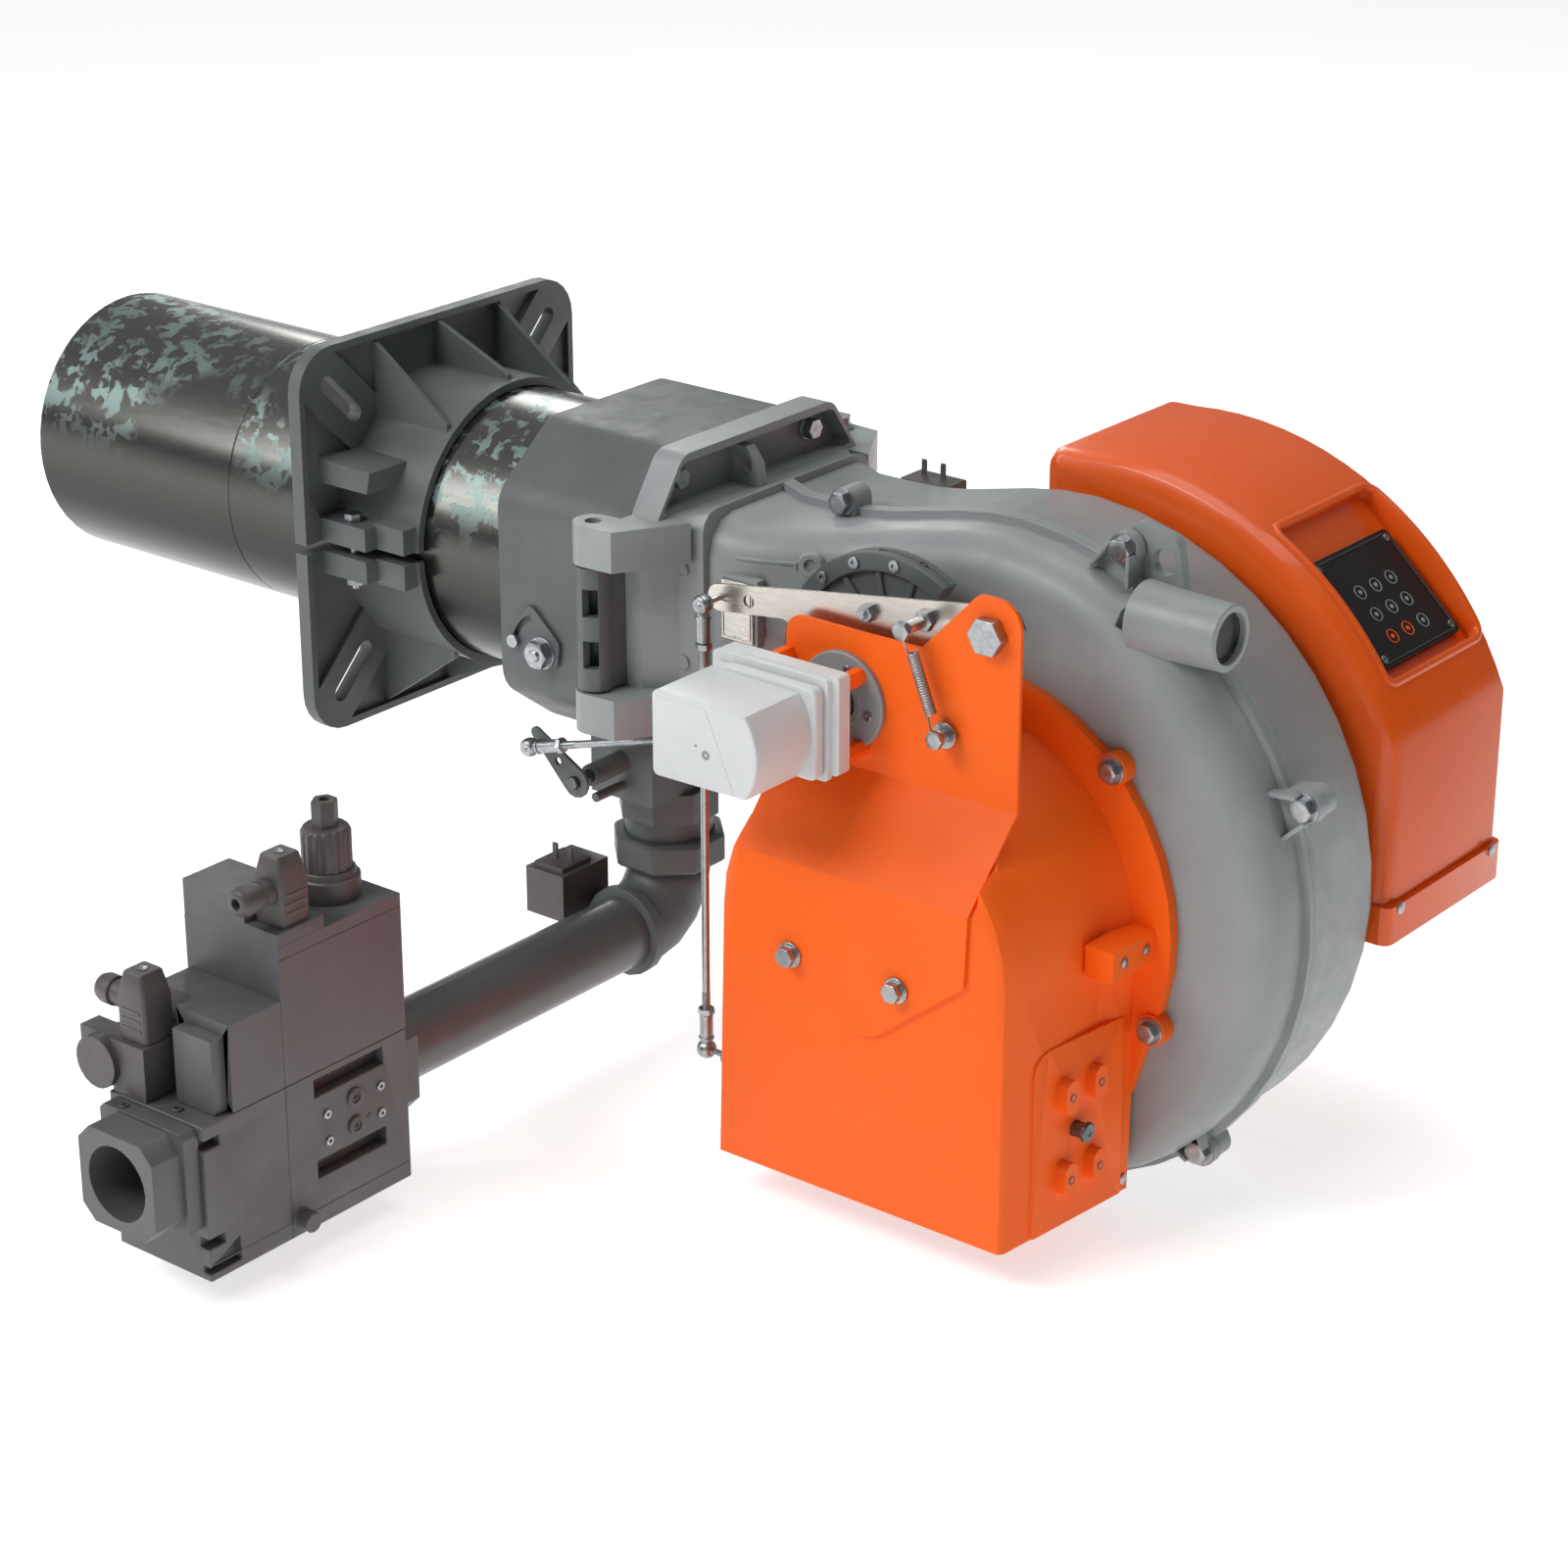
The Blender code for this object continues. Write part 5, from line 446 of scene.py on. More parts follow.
def wire(path, normals, radius, steps=10):
    """A round wire along a path: q = p + radius (n cos t + b sin t), b across both path and n."""
    path = np.asarray(path, dtype=float)
    ahead = unit(np.gradient(path, axis=0))
    normals = np.broadcast_to(normals, path.shape)
    side = unit(normals - ahead * np.sum(normals * ahead, axis=1, keepdims=True))
    other = np.cross(ahead, side)
    t = full_turn(steps)
    across = side[:, None] * np.cos(t)[:, None] + other[:, None] * np.sin(t)[:, None]
    return skin(path[:, None] + radius * across, caps=(True, True))


def piece(name, body, slot, *surfaces, crease=38.0, stands_for=(), finish=None):
    """Several closed surfaces as one piece: coincident points merged and faces turned outwards."""
    vertices = np.concatenate([points for points, _ in surfaces])
    faces, first = [], 0
    for points, some in surfaces:
        faces += [[first + i for i in face] for face in some]
        first += len(points)
    mesh = bpy.data.meshes.new(name)
    mesh.from_pydata(vertices.tolist(), [], faces)
    bm = bmesh.new()
    bm.from_mesh(mesh)
    bmesh.ops.dissolve_degenerate(bm, dist=0.000002, edges=bm.edges[:])
    bmesh.ops.remove_doubles(bm, verts=bm.verts[:], dist=0.000002)
    bmesh.ops.recalc_face_normals(bm, faces=bm.faces[:])
    bm.to_mesh(mesh)
    bm.free()
    mesh.materials.append(FINISHES[finish or slot])
    mesh.shade_smooth()
    mesh.set_sharp_from_angle(angle=math.radians(crease))
    made = bpy.data.objects.new(name, mesh)
    bpy.context.scene.collection.objects.link(made)
    if body:
        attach(made, body)
    if stands_for:
        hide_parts(*stands_for)
    return made


# Solids with their edges broken

BODY_OF = {}
for body_name, members in frame["record"]["behaviour"]["bodies"].items():
    for member in members:
        BODY_OF[member] = body_name
SLOT_OF = {part["node"]: part["material_slot"] for part in frame["record"]["subparts"]}


BROKEN_EDGE = 0.0006
EDGE_ANGLE = math.radians(34.0)


def refined(node, edge):
    """A merged copy of a node's solid, with its edges broken and its curves shaded smooth."""
    mesh = frame["nodes"][node].data.copy()
    bm = bmesh.new()
    bm.from_mesh(mesh)
    bmesh.ops.remove_doubles(bm, verts=bm.verts[:], dist=0.00001)
    bmesh.ops.dissolve_limit(bm, angle_limit=math.radians(1.0), verts=bm.verts[:],
                             edges=bm.edges[:])
    bm.to_mesh(mesh)
    bm.free()
    mesh.name = node + "_fine"
    mesh.materials.clear()
    mesh.materials.append(FINISHES[SLOT_OF[node]])
    piece = bpy.data.objects.new(node + "_fine", mesh)
    bpy.context.scene.collection.objects.link(piece)
    step = piece.modifiers.new("broken edges", "BEVEL")
    step.width = edge
    step.segments = 2
    step.limit_method = "ANGLE"
    step.angle_limit = EDGE_ANGLE
    step.use_clamp_overlap = True
    step.harden_normals = False
    mesh.shade_smooth()
    mesh.set_sharp_from_angle(angle=EDGE_ANGLE)
    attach(piece, BODY_OF[node])
    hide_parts(node)


# Pieces whose edges are rounder or finer than the rest, and those that are made anew below

EDGES = {"main_coil": 0.0016, "safety_coil": 0.0008, "servo_base": 0.0014, "hood": 0.0012,
         "air_intake": 0.0010, "hinge_frame": 0.0012, "head_casting": 0.0014, "valve_body": 0.0010,
         "valve_pressure_switch": 0.0012, "gas_pressure_switch": 0.0012,
         "air_pressure_switch": 0.0012, "control_panel": 0.0010, "damper_crank": 0.0004}
REMADE = ("air_rod", "gas_rod", "return_spring", "cam_ring", "servo_cover", "inspection_plug",
          "flow_adjuster_cap", "damper_base", "main_coil_plug", "pressure_switch_plug")
for node_name in sorted(frame["nodes"]):
    if node_name not in REMADE:
        refined(node_name, EDGES.get(node_name, BROKEN_EDGE))


# Bolts and screws on the castings

SEAM_BOLTS = ((0.684, 0.106), (0.842, -0.051), (0.770, -0.344))
SEAM_BOLT_Y = -0.0108
INTAKE_EARS = (46.0, 134.0, -22.0, 202.0)
INTAKE_EAR_RADIUS = 0.176
INTAKE_EAR_Y = -0.0628
NEAR = (0.0, -1.0, 0.0)
REAR = (1.0, 0.0, 0.0)
UP = (0.0, 0.0, 1.0)


def seam_bolts():
    """The bolts of the scroll's seam and those in the ears of the intake's ring."""
    heads = []
    for x, z in SEAM_BOLTS:
        heads += bolt((x, SEAM_BOLT_Y, z), NEAR, 0.0094, 0.0072, 0.0118)
    for degrees in INTAKE_EARS:
        a = math.radians(degrees)
        seat = (FAN_X + INTAKE_EAR_RADIUS * math.cos(a), INTAKE_EAR_Y,
                FAN_Z + INTAKE_EAR_RADIUS * math.sin(a))
        heads += bolt(seat, NEAR, 0.0078, 0.0060, 0.0108)
    piece("housing_bolts", "housing", "zinc", *heads)


def seam_gussets():
    """Two thin triangles beside each seam bolt, and the boss of the bolt at the duct's start."""
    ribs = []
    for x, z in SEAM_BOLTS:
        out = unit((x - FAN_X, z - FAN_Z))
        side = np.array((-out[1], out[0]))
        for hand in (-1.0, 1.0):
            foot = np.array((x, z)) - out * 0.0195 + side * hand * 0.0165
            tip = np.array((x, z)) + side * hand * 0.0098
            outline = capsule(foot, tip, 0.0016, 4)
            ribs.append(plate(outline, facing_y, -0.0205, -0.0100, 0.0008))
        ribs.append(spindle((x, -0.0112, z), (0.0, 1.0, 0.0), [(0.0, 0.0128), (0.0090, 0.0128),
                                                              (0.0100, 0.0118)]))
    ribs.append(plate(capsule((0.4330, 0.0780), (0.4330, 0.0900), 0.0100), facing_y, -0.0110, 0.0120,
                      0.0010))
    piece("seam_gussets", "housing", "cast_grey", *ribs)
    piece("duct_bolt", "housing", "zinc",
          *bolt((0.4330, -0.0110, 0.0900), NEAR, 0.0088, 0.0068, 0.0110))


def sector_bolt():
    """The adjuster's clamping bolt, with the end of its stud."""
    heads = bolt((0.237, -0.1333, -0.041), NEAR, 0.0114, 0.0082, 0.0128)
    heads.append(spindle((0.237, -0.1425, -0.041), NEAR, [(0.0, 0.0048), (0.0014, 0.0048),
                                                         (0.0022, 0.0040)]))
    piece("sector_bolt", "adjuster", "zinc", *heads)


def small_screws():
    """The little screws of the duct plate, the intake's side and the hood's base band."""
    screws = [slotted_screw((0.399, -0.0955, -0.0005), NEAR, 0.0042, 0.0024),
              slotted_screw((0.754, -0.0980, -0.164), REAR, 0.0040, 0.0020),
              slotted_screw((0.754, -0.0700, -0.164), REAR, 0.0040, 0.0020)]
    for y in (0.122, 0.258):
        screws.append(slotted_screw((0.8498, y, -0.172), REAR, 0.0048, 0.0026))
    piece("small_screws", "housing", "zinc", *screws)


seam_bolts()
seam_gussets()
sector_bolt()
small_screws()


# Push rods

SLEEVE = ((0.0040, 0.0036), (0.0070, 0.0048), (0.0088, 0.0050), (0.0090, 0.0060), (0.0106, 0.0060),
          (0.0108, 0.0052), (0.0290, 0.0052), (0.0300, 0.0044))
NUT_AT = 0.0302
NUT_LONG = 0.0046
THREAD_END = 0.048
ROD_RADIUS = 0.0030


def ball_socket(centre, axis):
    """A barrel round the ball, r = 4.7 + 2.8 cos t over its width, with the ball's cap each side."""
    centre, axis = np.array(centre), unit(axis)
    t = np.radians(np.linspace(-90.0, 90.0, 13))
    barrel = np.stack([0.0056 * np.sin(t), 0.0047 + 0.0028 * np.cos(t)], axis=-1)
    t = np.radians(np.linspace(-80.0, 80.0, 15))
    ball = np.stack([0.0069 * np.sin(t), 0.0044 * np.cos(t)], axis=-1)
    return [spindle(centre, axis, barrel), spindle(centre, axis, ball)]


def thread_outline(low, high, radius):
    """The saw-toothed outline of a fine thread."""
    d = np.arange(low, high, 0.0005)
    return np.stack([d, radius + 0.00022 * (np.arange(len(d)) % 2)], axis=-1)


def linkage(name, body, node, start, end, start_axis, end_axis):
    """A rod between two ball sockets, with a sleeve, a lock nut and a thread at each end."""
    start, end = np.array(start), np.array(end)
    length = np.linalg.norm(end - start)
    ahead = unit(end - start)
    plain = [(THREAD_END, ROD_RADIUS), (length - THREAD_END, ROD_RADIUS)]
    surfaces = [spindle(start, ahead, plain, 24)]
    for centre, heading, axis in ((start, ahead, start_axis), (end, -ahead, end_axis)):
        surfaces += ball_socket(centre, axis)
        surfaces.append(spindle(centre, heading, SLEEVE, 28))
        surfaces.append(hex_head(centre + heading * NUT_AT, heading, 0.0064, NUT_LONG))
        thread = thread_outline(NUT_AT, THREAD_END + 0.0005, ROD_RADIUS)
        surfaces.append(spindle(centre, heading, thread, 24))
    piece(name, body, "nickel", *surfaces, stands_for=(node,), finish="zinc")


ROD_X, ROD_Y, LEVER_END_Z = 0.414, -0.152, 0.044
DAMPER_Y, DAMPER_Z = -0.119, -0.294
CRANK_LONG, CRANK_ANGLE = 0.040, math.radians(33.7)
CRANK_PIN = (ROD_X, DAMPER_Y - CRANK_LONG * math.cos(CRANK_ANGLE),
             DAMPER_Z - CRANK_LONG * math.sin(CRANK_ANGLE))
CAM_STUD_RADIUS, CAM_STUD_ANGLE = 0.042, math.radians(-110.0)
GAS_PIN = (CAM_X + CAM_STUD_RADIUS * math.cos(CAM_STUD_ANGLE), -0.107,
           CAM_Z + CAM_STUD_RADIUS * math.sin(CAM_STUD_ANGLE))
GAS_BALL = (GAS_X - 0.033, -0.127, -0.126)

linkage("push_rod_turned", "push_rod", "air_rod", (ROD_X, ROD_Y, LEVER_END_Z), CRANK_PIN,
        NEAR, REAR)
linkage("gas_rod_turned", "gas_link", "gas_rod", GAS_PIN, GAS_BALL, NEAR, NEAR)


# Lever and return spring

SPRING_Y = -0.1594
SPRING_TOP = (0.603, SPRING_Y, 0.070)
SPRING_LOW = (0.633, SPRING_Y, -0.004)
SPRING_NUT_Y = SPRING_Y - 0.0022
LEVER_Y = -0.134
FOLLOWER_AT = (0.552, 0.064)


def tension_spring(low, high, coil, thick, post, turns, room):
    """A close coil between two hooks.

    A hook is q = post + r (u cos g + a sin g), and the coil p = low + s a + c (u cos f + v sin f).
    """
    low, high = np.array(low), np.array(high)
    length = np.linalg.norm(high - low)
    ahead = unit(high - low)
    v = np.array(NEAR)
    u = np.cross(v, ahead)
    g = np.radians(np.linspace(-270.0, 0.0, 28))[:, None]
    f = np.linspace(0.0, 2.0 * math.pi * turns, turns * 16 + 1)[:, None]
    s = np.linspace(room, length - room, len(f))[:, None]
    low_out = u * np.cos(g) + ahead * np.sin(g)
    high_out = u * np.cos(g[::-1]) - ahead * np.sin(g[::-1])
    coil_out = u * np.cos(f) + v * np.sin(f)
    path = np.concatenate([low + (post + thick) * low_out, low + ahead * s + coil * coil_out,
                           high + (post + thick) * high_out])
    return wire(path, np.concatenate([low_out, coil_out, high_out]), thick, 8)


def lever_hardware():
    """The lever's two nuts, and the spring with a nut on each of its posts."""
    top_x, _, top_z = SPRING_TOP
    low_x, _, low_z = SPRING_LOW
    x, z = FOLLOWER_AT
    nuts = [hex_head((top_x, LEVER_Y - 0.0001, top_z), NEAR, 0.0082, 0.0066),
            hex_head((x, LEVER_Y - 0.0001, z), NEAR, 0.0068, 0.0066),
            spindle((x, LEVER_Y - 0.006, z), NEAR, thread_outline(0.0, 0.0042, 0.0029), 20),
            hex_head((top_x, SPRING_NUT_Y, top_z), NEAR, 0.0072, 0.0046)]
    piece("lever_nuts", "lever", "nickel", *nuts, finish="zinc")
    piece("spring_nut", "housing", "zinc",
          hex_head((low_x, SPRING_NUT_Y, low_z), NEAR, 0.0072, 0.0046),
          washer((low_x, -0.1520, low_z), NEAR, 0.0098))
    spring = piece("return_spring_coils", None, "steel",
                   tension_spring(SPRING_LOW, SPRING_TOP, 0.0038, 0.0008, 0.0045, 25, 0.017),
                   crease=80.0, stands_for=("return_spring",), finish="zinc")
    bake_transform(spring)


lever_hardware()


# Cam ring

RING_OUTER, RING_INNER = 0.095, 0.081
RING_FRONT, RING_BACK = -0.097, -0.081
RING_START, RING_END = 58.0, 182.0
RING_MIDDLE = (RING_FRONT + RING_BACK) / 2.0
RING_GROOVE, RING_GROOVE_DEEP, RING_SOFT = 0.0014, 0.0012, 0.0009
CAM_SCREWS = (132.0, 110.0, 86.0)
CAM_NOTCHES = (97.0, 74.5)
CAM_RIBS = (((0.500, 0.066), (0.509, 0.056)), ((0.529, 0.078), (0.533, 0.060)),
            ((0.560, 0.077), (0.556, 0.063)))


def cam_ring():
    """A grooved section carried round the servo's axis: p = c + r (cos a, sin a) at depth y."""
    soft, middle, groove = RING_SOFT, RING_MIDDLE, RING_OUTER - RING_GROOVE_DEEP
    section = np.array([
        (RING_INNER, RING_BACK), (RING_INNER, RING_FRONT + soft), (RING_INNER + soft, RING_FRONT),
        (RING_OUTER - soft, RING_FRONT), (RING_OUTER, RING_FRONT + soft),
        (RING_OUTER, middle - RING_GROOVE), (groove, middle - 0.0010),
        (groove, middle + 0.0010), (RING_OUTER, middle + RING_GROOVE),
        (RING_OUTER, RING_BACK - soft), (RING_OUTER - soft, RING_BACK)])
    a = np.radians(np.linspace(RING_START, RING_END, 73))[:, None]
    r, y = section.T
    points = facing_y(CAM_X + r * np.cos(a), CAM_Z + r * np.sin(a), y)
    piece("cam_ring_band", "cam", "cast_dark", skin(points, caps=(True, True)), crease=30.0,
          stands_for=("cam_ring",))
    middle_radius = (RING_OUTER + RING_INNER) / 2.0
    screws, notches = [], []
    for degrees in CAM_SCREWS:
        b = math.radians(degrees)
        seat = (CAM_X + middle_radius * math.cos(b), RING_FRONT + 0.0004,
                CAM_Z + middle_radius * math.sin(b))
        screws.append(socket_screw(seat, NEAR, 0.0046, 0.0018))
    for degrees in CAM_NOTCHES:
        b = math.radians(degrees)
        out = np.array((math.cos(b), 0.0, math.sin(b)))
        seat = np.array((CAM_X, middle, CAM_Z)) + out * (RING_OUTER - 0.0010)
        notches.append(socket_screw(seat, out, 0.0036, 0.0014, 0.6))
    piece("cam_ring_screws", "cam", "cast_dark", *screws, finish="zinc")
    piece("cam_ring_pins", "cam", "cast_dark", *notches, finish="black_plastic")
    ribs = [plate(capsule(first, last, 0.0022), facing_y, -0.0942, -0.0915, 0.0008)
            for first, last in CAM_RIBS]
    ribs.append(plate(disc((CAM_X, CAM_Z), 0.021), facing_y, -0.0945, -0.0915, 0.0010))
    piece("cam_web_ribs", "cam", "cast_dark", *ribs)


cam_ring()


# Servo

SERVO_LEFT, SERVO_RIGHT, SERVO_TOP, SERVO_BOTTOM = 0.458, 0.541, 0.022, -0.043
SERVO_FRONT, SERVO_BACK = -0.262, -0.1903
SERVO_BULGE = 0.012


def servo_outline():
    """A rectangle with a bowed right side: the bow's radius is (h h + b b) / 2 b."""
    half = (SERVO_TOP - SERVO_BOTTOM) / 2.0
    middle = (SERVO_TOP + SERVO_BOTTOM) / 2.0
    radius = (half ** 2 + SERVO_BULGE ** 2) / (2.0 * SERVO_BULGE)
    sweep = math.degrees(math.asin(half / radius)) - 2.0
    soft = 0.005
    return np.concatenate([
        arc((SERVO_LEFT + soft, SERVO_TOP - soft), soft, 90.0, 180.0, 6),
        arc((SERVO_LEFT + soft, SERVO_BOTTOM + soft), soft, 180.0, 270.0, 6),
        arc((SERVO_RIGHT + SERVO_BULGE - radius, middle), radius, -sweep, sweep, 24)])


def servo():
    """The servo's cover with its lid line and foot, two screws, and the bearing ring behind."""
    outline = servo_outline()
    lid = np.array([(0.4620, 0.0180), (0.4620, -0.0390), (0.5325, -0.0390), (0.5075, 0.0180)])
    flange = round_box(0.470, 0.5565, SERVO_BOTTOM - 0.0015, SERVO_TOP + 0.0035, 0.006)
    piece("servo_shell", "housing", "servo_white",
          plate(outline, facing_y, SERVO_FRONT, SERVO_BACK, 0.0016, 4),
          plate(lid, facing_y, SERVO_FRONT - 0.0004, SERVO_FRONT + 0.002, 0.0004),
          plate(inset(outline, -0.0014), facing_y, -0.1945, SERVO_BACK, 0.0010),
          plate(flange, facing_y, -0.2010, SERVO_BACK, 0.0030, 5),
          stands_for=("servo_cover",))
    piece("servo_screws", "housing", "servo_white",
          socket_screw((0.5075, SERVO_FRONT + 0.0006, -0.016), NEAR, 0.0034, 0.0016, 0.5),
          slotted_screw((0.4985, SERVO_FRONT + 0.0006, -0.011), NEAR, 0.0016, 0.0014),
          finish="cast_grey")
    bearing = [(0.1467, 0.0140), (0.1467, 0.0370), (0.1500, 0.0370), (0.1512, 0.0358),
               (0.1512, 0.0190), (0.1530, 0.0185), (0.1530, 0.0140)]
    screws = []
    for degrees in (-14.0, 76.0, 166.0, 256.0):
        a = math.radians(degrees)
        screws.append(socket_screw((CAM_X + 0.0258 * math.cos(a), -0.1508,
                                    CAM_Z + 0.0258 * math.sin(a)), NEAR, 0.0036, 0.0022))
    piece("servo_bearing", "housing", "cast_grey",
          spindle((CAM_X, 0.0, CAM_Z), NEAR, bearing, 48, True))
    piece("bearing_screws", "housing", "zinc", *screws)


servo()


# Duct side

DUCT_WALL_X = (0.372, 0.400, 0.416, 0.430, 0.440, 0.452, 0.470)
DUCT_WALL_Y = (-0.0920, -0.0886, -0.0835, -0.0770, -0.0715, -0.0656, -0.0584)
CONTOUR_X, CONTOUR_Z = 0.4375, 0.0585
PORT_AXIS = (0.0, -0.025, 0.066)


def duct_contour():
    """The cast line round the duct's plate: a stroke that follows the wall's y over x."""
    x = np.concatenate([np.linspace(0.377, CONTOUR_X, 24), np.full(14, CONTOUR_X)])
    z = np.concatenate([np.full(24, CONTOUR_Z), np.linspace(0.0560, 0.0200, 14)])
    path = np.stack([x, np.interp(x, DUCT_WALL_X, DUCT_WALL_Y), z], axis=-1)
    boss_x = CONTOUR_X + 0.010
    boss = (boss_x, np.interp(boss_x, DUCT_WALL_X, DUCT_WALL_Y) + 0.001, CONTOUR_Z)
    ring = [(0.0, 0.0105), (0.0030, 0.0098), (0.0040, 0.0086), (0.0040, 0.0052), (0.0012, 0.0044)]
    frame_line = border(round_box(0.3875, 0.4145, -0.0025, 0.0415, 0.003), facing_y,
                        -0.0976, -0.0986, 0.0014)
    piece("duct_contour", "housing", "cast_grey", wire(path, NEAR, 0.0019, 12),
          spindle(boss, (0.35, -1.0, 0.0), ring))
    piece("duct_plate_line", "housing", "nickel", frame_line)
    marks = [spindle((0.3550, -0.1046, z), NEAR, [(0.0, 0.0062), (0.0020, 0.0060), (0.0026, 0.0054),
                                                  (0.0026, 0.0042), (0.0020, 0.0038)])
             for z in (0.045, -0.029)]
    piece("frame_marks", "housing", "cast_grey", *marks)


def inspection_port():
    """A flared skirt from the scroll to the port's collar, and the dished plug in it."""
    skirt = [(0.712, 0.0150), (0.712, 0.0272), (0.722, 0.0266), (0.740, 0.0256), (0.772, 0.0246),
             (0.7835, 0.0244), (0.7845, 0.0234), (0.7845, 0.0196), (0.7700, 0.0190)]
    piece("inspection_skirt", "housing", "cast_grey", spindle(PORT_AXIS, REAR, skirt, 48))
    plug = [(0.7640, 0.0188), (0.7790, 0.0188), (0.7800, 0.0178), (0.7800, 0.0162), (0.7788, 0.0154),
            (0.7786, 0.0040)]
    piece("inspection_cap", "housing", "black_plastic", spindle(PORT_AXIS, REAR, plug, 40),
          stands_for=("inspection_plug",), finish="panel_black")


duct_contour()
inspection_port()


# Control panel and hood

PANEL_ANGLE = math.radians(47.0)
PANEL_Y = 0.198
PANEL_OUT = np.array((math.cos(PANEL_ANGLE), 0.0, math.sin(PANEL_ANGLE)))
PANEL_RISE = np.array((-math.sin(PANEL_ANGLE), 0.0, math.cos(PANEL_ANGLE)))
PANEL_MIDDLE = np.array((FAN_X, PANEL_Y, -0.150))


def facing_panel(u, v, lift):
    """A point at u along +Y and v up the panel, at a distance from the fan's axis."""
    u, v, lift = np.broadcast_arrays(u, v, lift)
    return (PANEL_MIDDLE + PANEL_OUT * lift[..., None] + PANEL_RISE * v[..., None]
            + np.array((0.0, 1.0, 0.0)) * u[..., None])


def panel_reach():
    """The control panel's middle and half sizes across and up its face, and the face's distance."""
    node = frame["nodes"]["control_panel"]
    places = np.array([node.matrix_world @ vertex.co for vertex in node.data.vertices])
    along = np.stack([places[:, 1] - PANEL_Y, (places - PANEL_MIDDLE) @ PANEL_RISE,
                      (places - PANEL_MIDDLE) @ PANEL_OUT])
    low, high = along.min(axis=1), along.max(axis=1)
    return (low + high) / 2.0, (high - low) / 2.0, high[2]


KEY_PITCH_U, KEY_PITCH_V = 0.022, 0.020


def control_panel():
    """Nine ringed keys in three rows, two of them lamps, a border line and four screws."""
    middle, half, face = panel_reach()
    low, high = face - 0.0002, face + 0.0006
    keys, lamps, screws = [], [], []
    for row in range(3):
        for column in range(3):
            centre = (middle[0] + KEY_PITCH_U * (column - 1.0),
                      middle[1] + 0.012 - KEY_PITCH_V * row)
            lit = row == 2 and column < 2
            group = lamps if lit else keys
            group.append(border(disc(centre, 0.0060), facing_panel, low, high, 0.0008))
            group.append(plate(disc(centre, 0.0018), facing_panel, low, high, 0.0002))
    edge = round_box(middle[0] - half[0] + 0.003, middle[0] + half[0] - 0.003,
                     middle[1] - half[1] + 0.003, middle[1] + half[1] - 0.003, 0.005)
    piece("panel_keys", "housing", "panel_black", *keys, finish="cast_grey")
    piece("panel_lamps", "housing", "panel_black", *lamps, finish="orange")
    piece("panel_edge", "housing", "panel_black",
          border(edge, facing_panel, low, high + 0.0002, 0.0012), finish="black_plastic")
    for u in (-1.0, 1.0):
        for v in (-1.0, 1.0):
            seat = facing_panel(middle[0] + u * (half[0] - 0.0075),
                                middle[1] + v * (half[1] - 0.0075), face - 0.0002)
            screws.append(socket_screw(seat, PANEL_OUT, 0.0030, 0.0014))
    piece("panel_screws", "housing", "zinc", *screws)


def evenly(outline, count):
    """A closed outline's points set again at even steps along its length."""
    closed = np.vstack([outline, outline[:1]])
    run = np.concatenate([[0.0], np.cumsum(np.linalg.norm(np.diff(closed, axis=0), axis=1))])
    at = np.linspace(0.0, run[-1], count, endpoint=False)
    return np.stack([np.interp(at, run, closed[:, 0]), np.interp(at, run, closed[:, 1])], axis=-1)


HOOD_CROWN, RECESS_FLOOR = 0.274, 0.2535
RIM_SECTION = ((-0.0010, None), (-0.0010, 0.0), (0.0, 0.0012), (0.0026, 0.0018), (0.0044, 0.0012),
               (0.0054, -0.0004), (0.0030, -0.0030), (0.0030, None))


def panel_recess():
    """The recess's rolled rim, a wall from its floor to the crown.

    The crown stands sqrt(R R - v v) off the fan's axis at v. The section gives how far each row lies
    outside the recess and above the crown, and None stands for the floor.
    """
    inner = evenly(round_box(-0.066, 0.066, -0.070, 0.070, 0.008, 8), 260)
    rows = []
    for out, lift in RIM_SECTION:
        u, v = inset(inner, -out).T
        level = np.sqrt(HOOD_CROWN ** 2 - v ** 2) + (lift or 0.0)
        rows.append(facing_panel(u, v, np.full_like(u, RECESS_FLOOR) if lift is None else level))
    piece("recess_rim", "housing", "hood_orange", skin(np.array(rows), wrap_rows=True), crease=50.0)


control_panel()
panel_recess()


# Gas valve

VALVE_X = 0.2965
VALVE_SCREWS = ((-0.441, -0.293), (-0.386, -0.292), (-0.440, -0.315), (-0.386, -0.314))
VALVE_PORTS = ((-0.413, -0.290), (-0.413, -0.313))
VALVE_LINES = ((-0.4806, -0.4794, -0.378, -0.2570), (-0.4798, -0.3572, -0.1580, -0.1570),
               (-0.5600, -0.3580, -0.3665, -0.3655))
KNOB_X, KNOB_Y, KNOB_LOW = 0.257, -0.390, -0.1247


def valve_side():
    """Screws, ringed test ports and the joint line of the valve's right face."""
    seat_x = VALVE_X - 0.0004
    piece("valve_screws", "head", "zinc",
          *[socket_screw((seat_x, y, z), REAR, 0.0036, 0.0022) for y, z in VALVE_SCREWS])
    port = [(0.0, 0.0075), (0.0022, 0.0072), (0.0028, 0.0062), (0.0028, 0.0048), (0.0016, 0.0044),
            (0.0016, 0.0022), (0.0006, 0.0018)]
    ports = [spindle((seat_x, y, z), REAR, port) for y, z in VALVE_PORTS]
    ports.append(spindle((seat_x, -0.398, -0.312), REAR, [(0.0, 0.0024), (0.0012, 0.0020)]))
    piece("valve_ports", "head", "black_plastic", *ports)
    lines = [plate(round_box(*line, 0.0003, 2), facing_x, VALVE_X - 0.001, VALVE_X + 0.0003, 0.0001)
             for line in VALVE_LINES]
    piece("valve_lines", "head", "black_plastic", *lines)
    piece("valve_top_screws", "head", "black_plastic",
          socket_screw((0.262, -0.552, -0.2563), UP, 0.0040, 0.0020),
          socket_screw((0.225, -0.5685, -0.2583), UP, 0.0034, 0.0016))


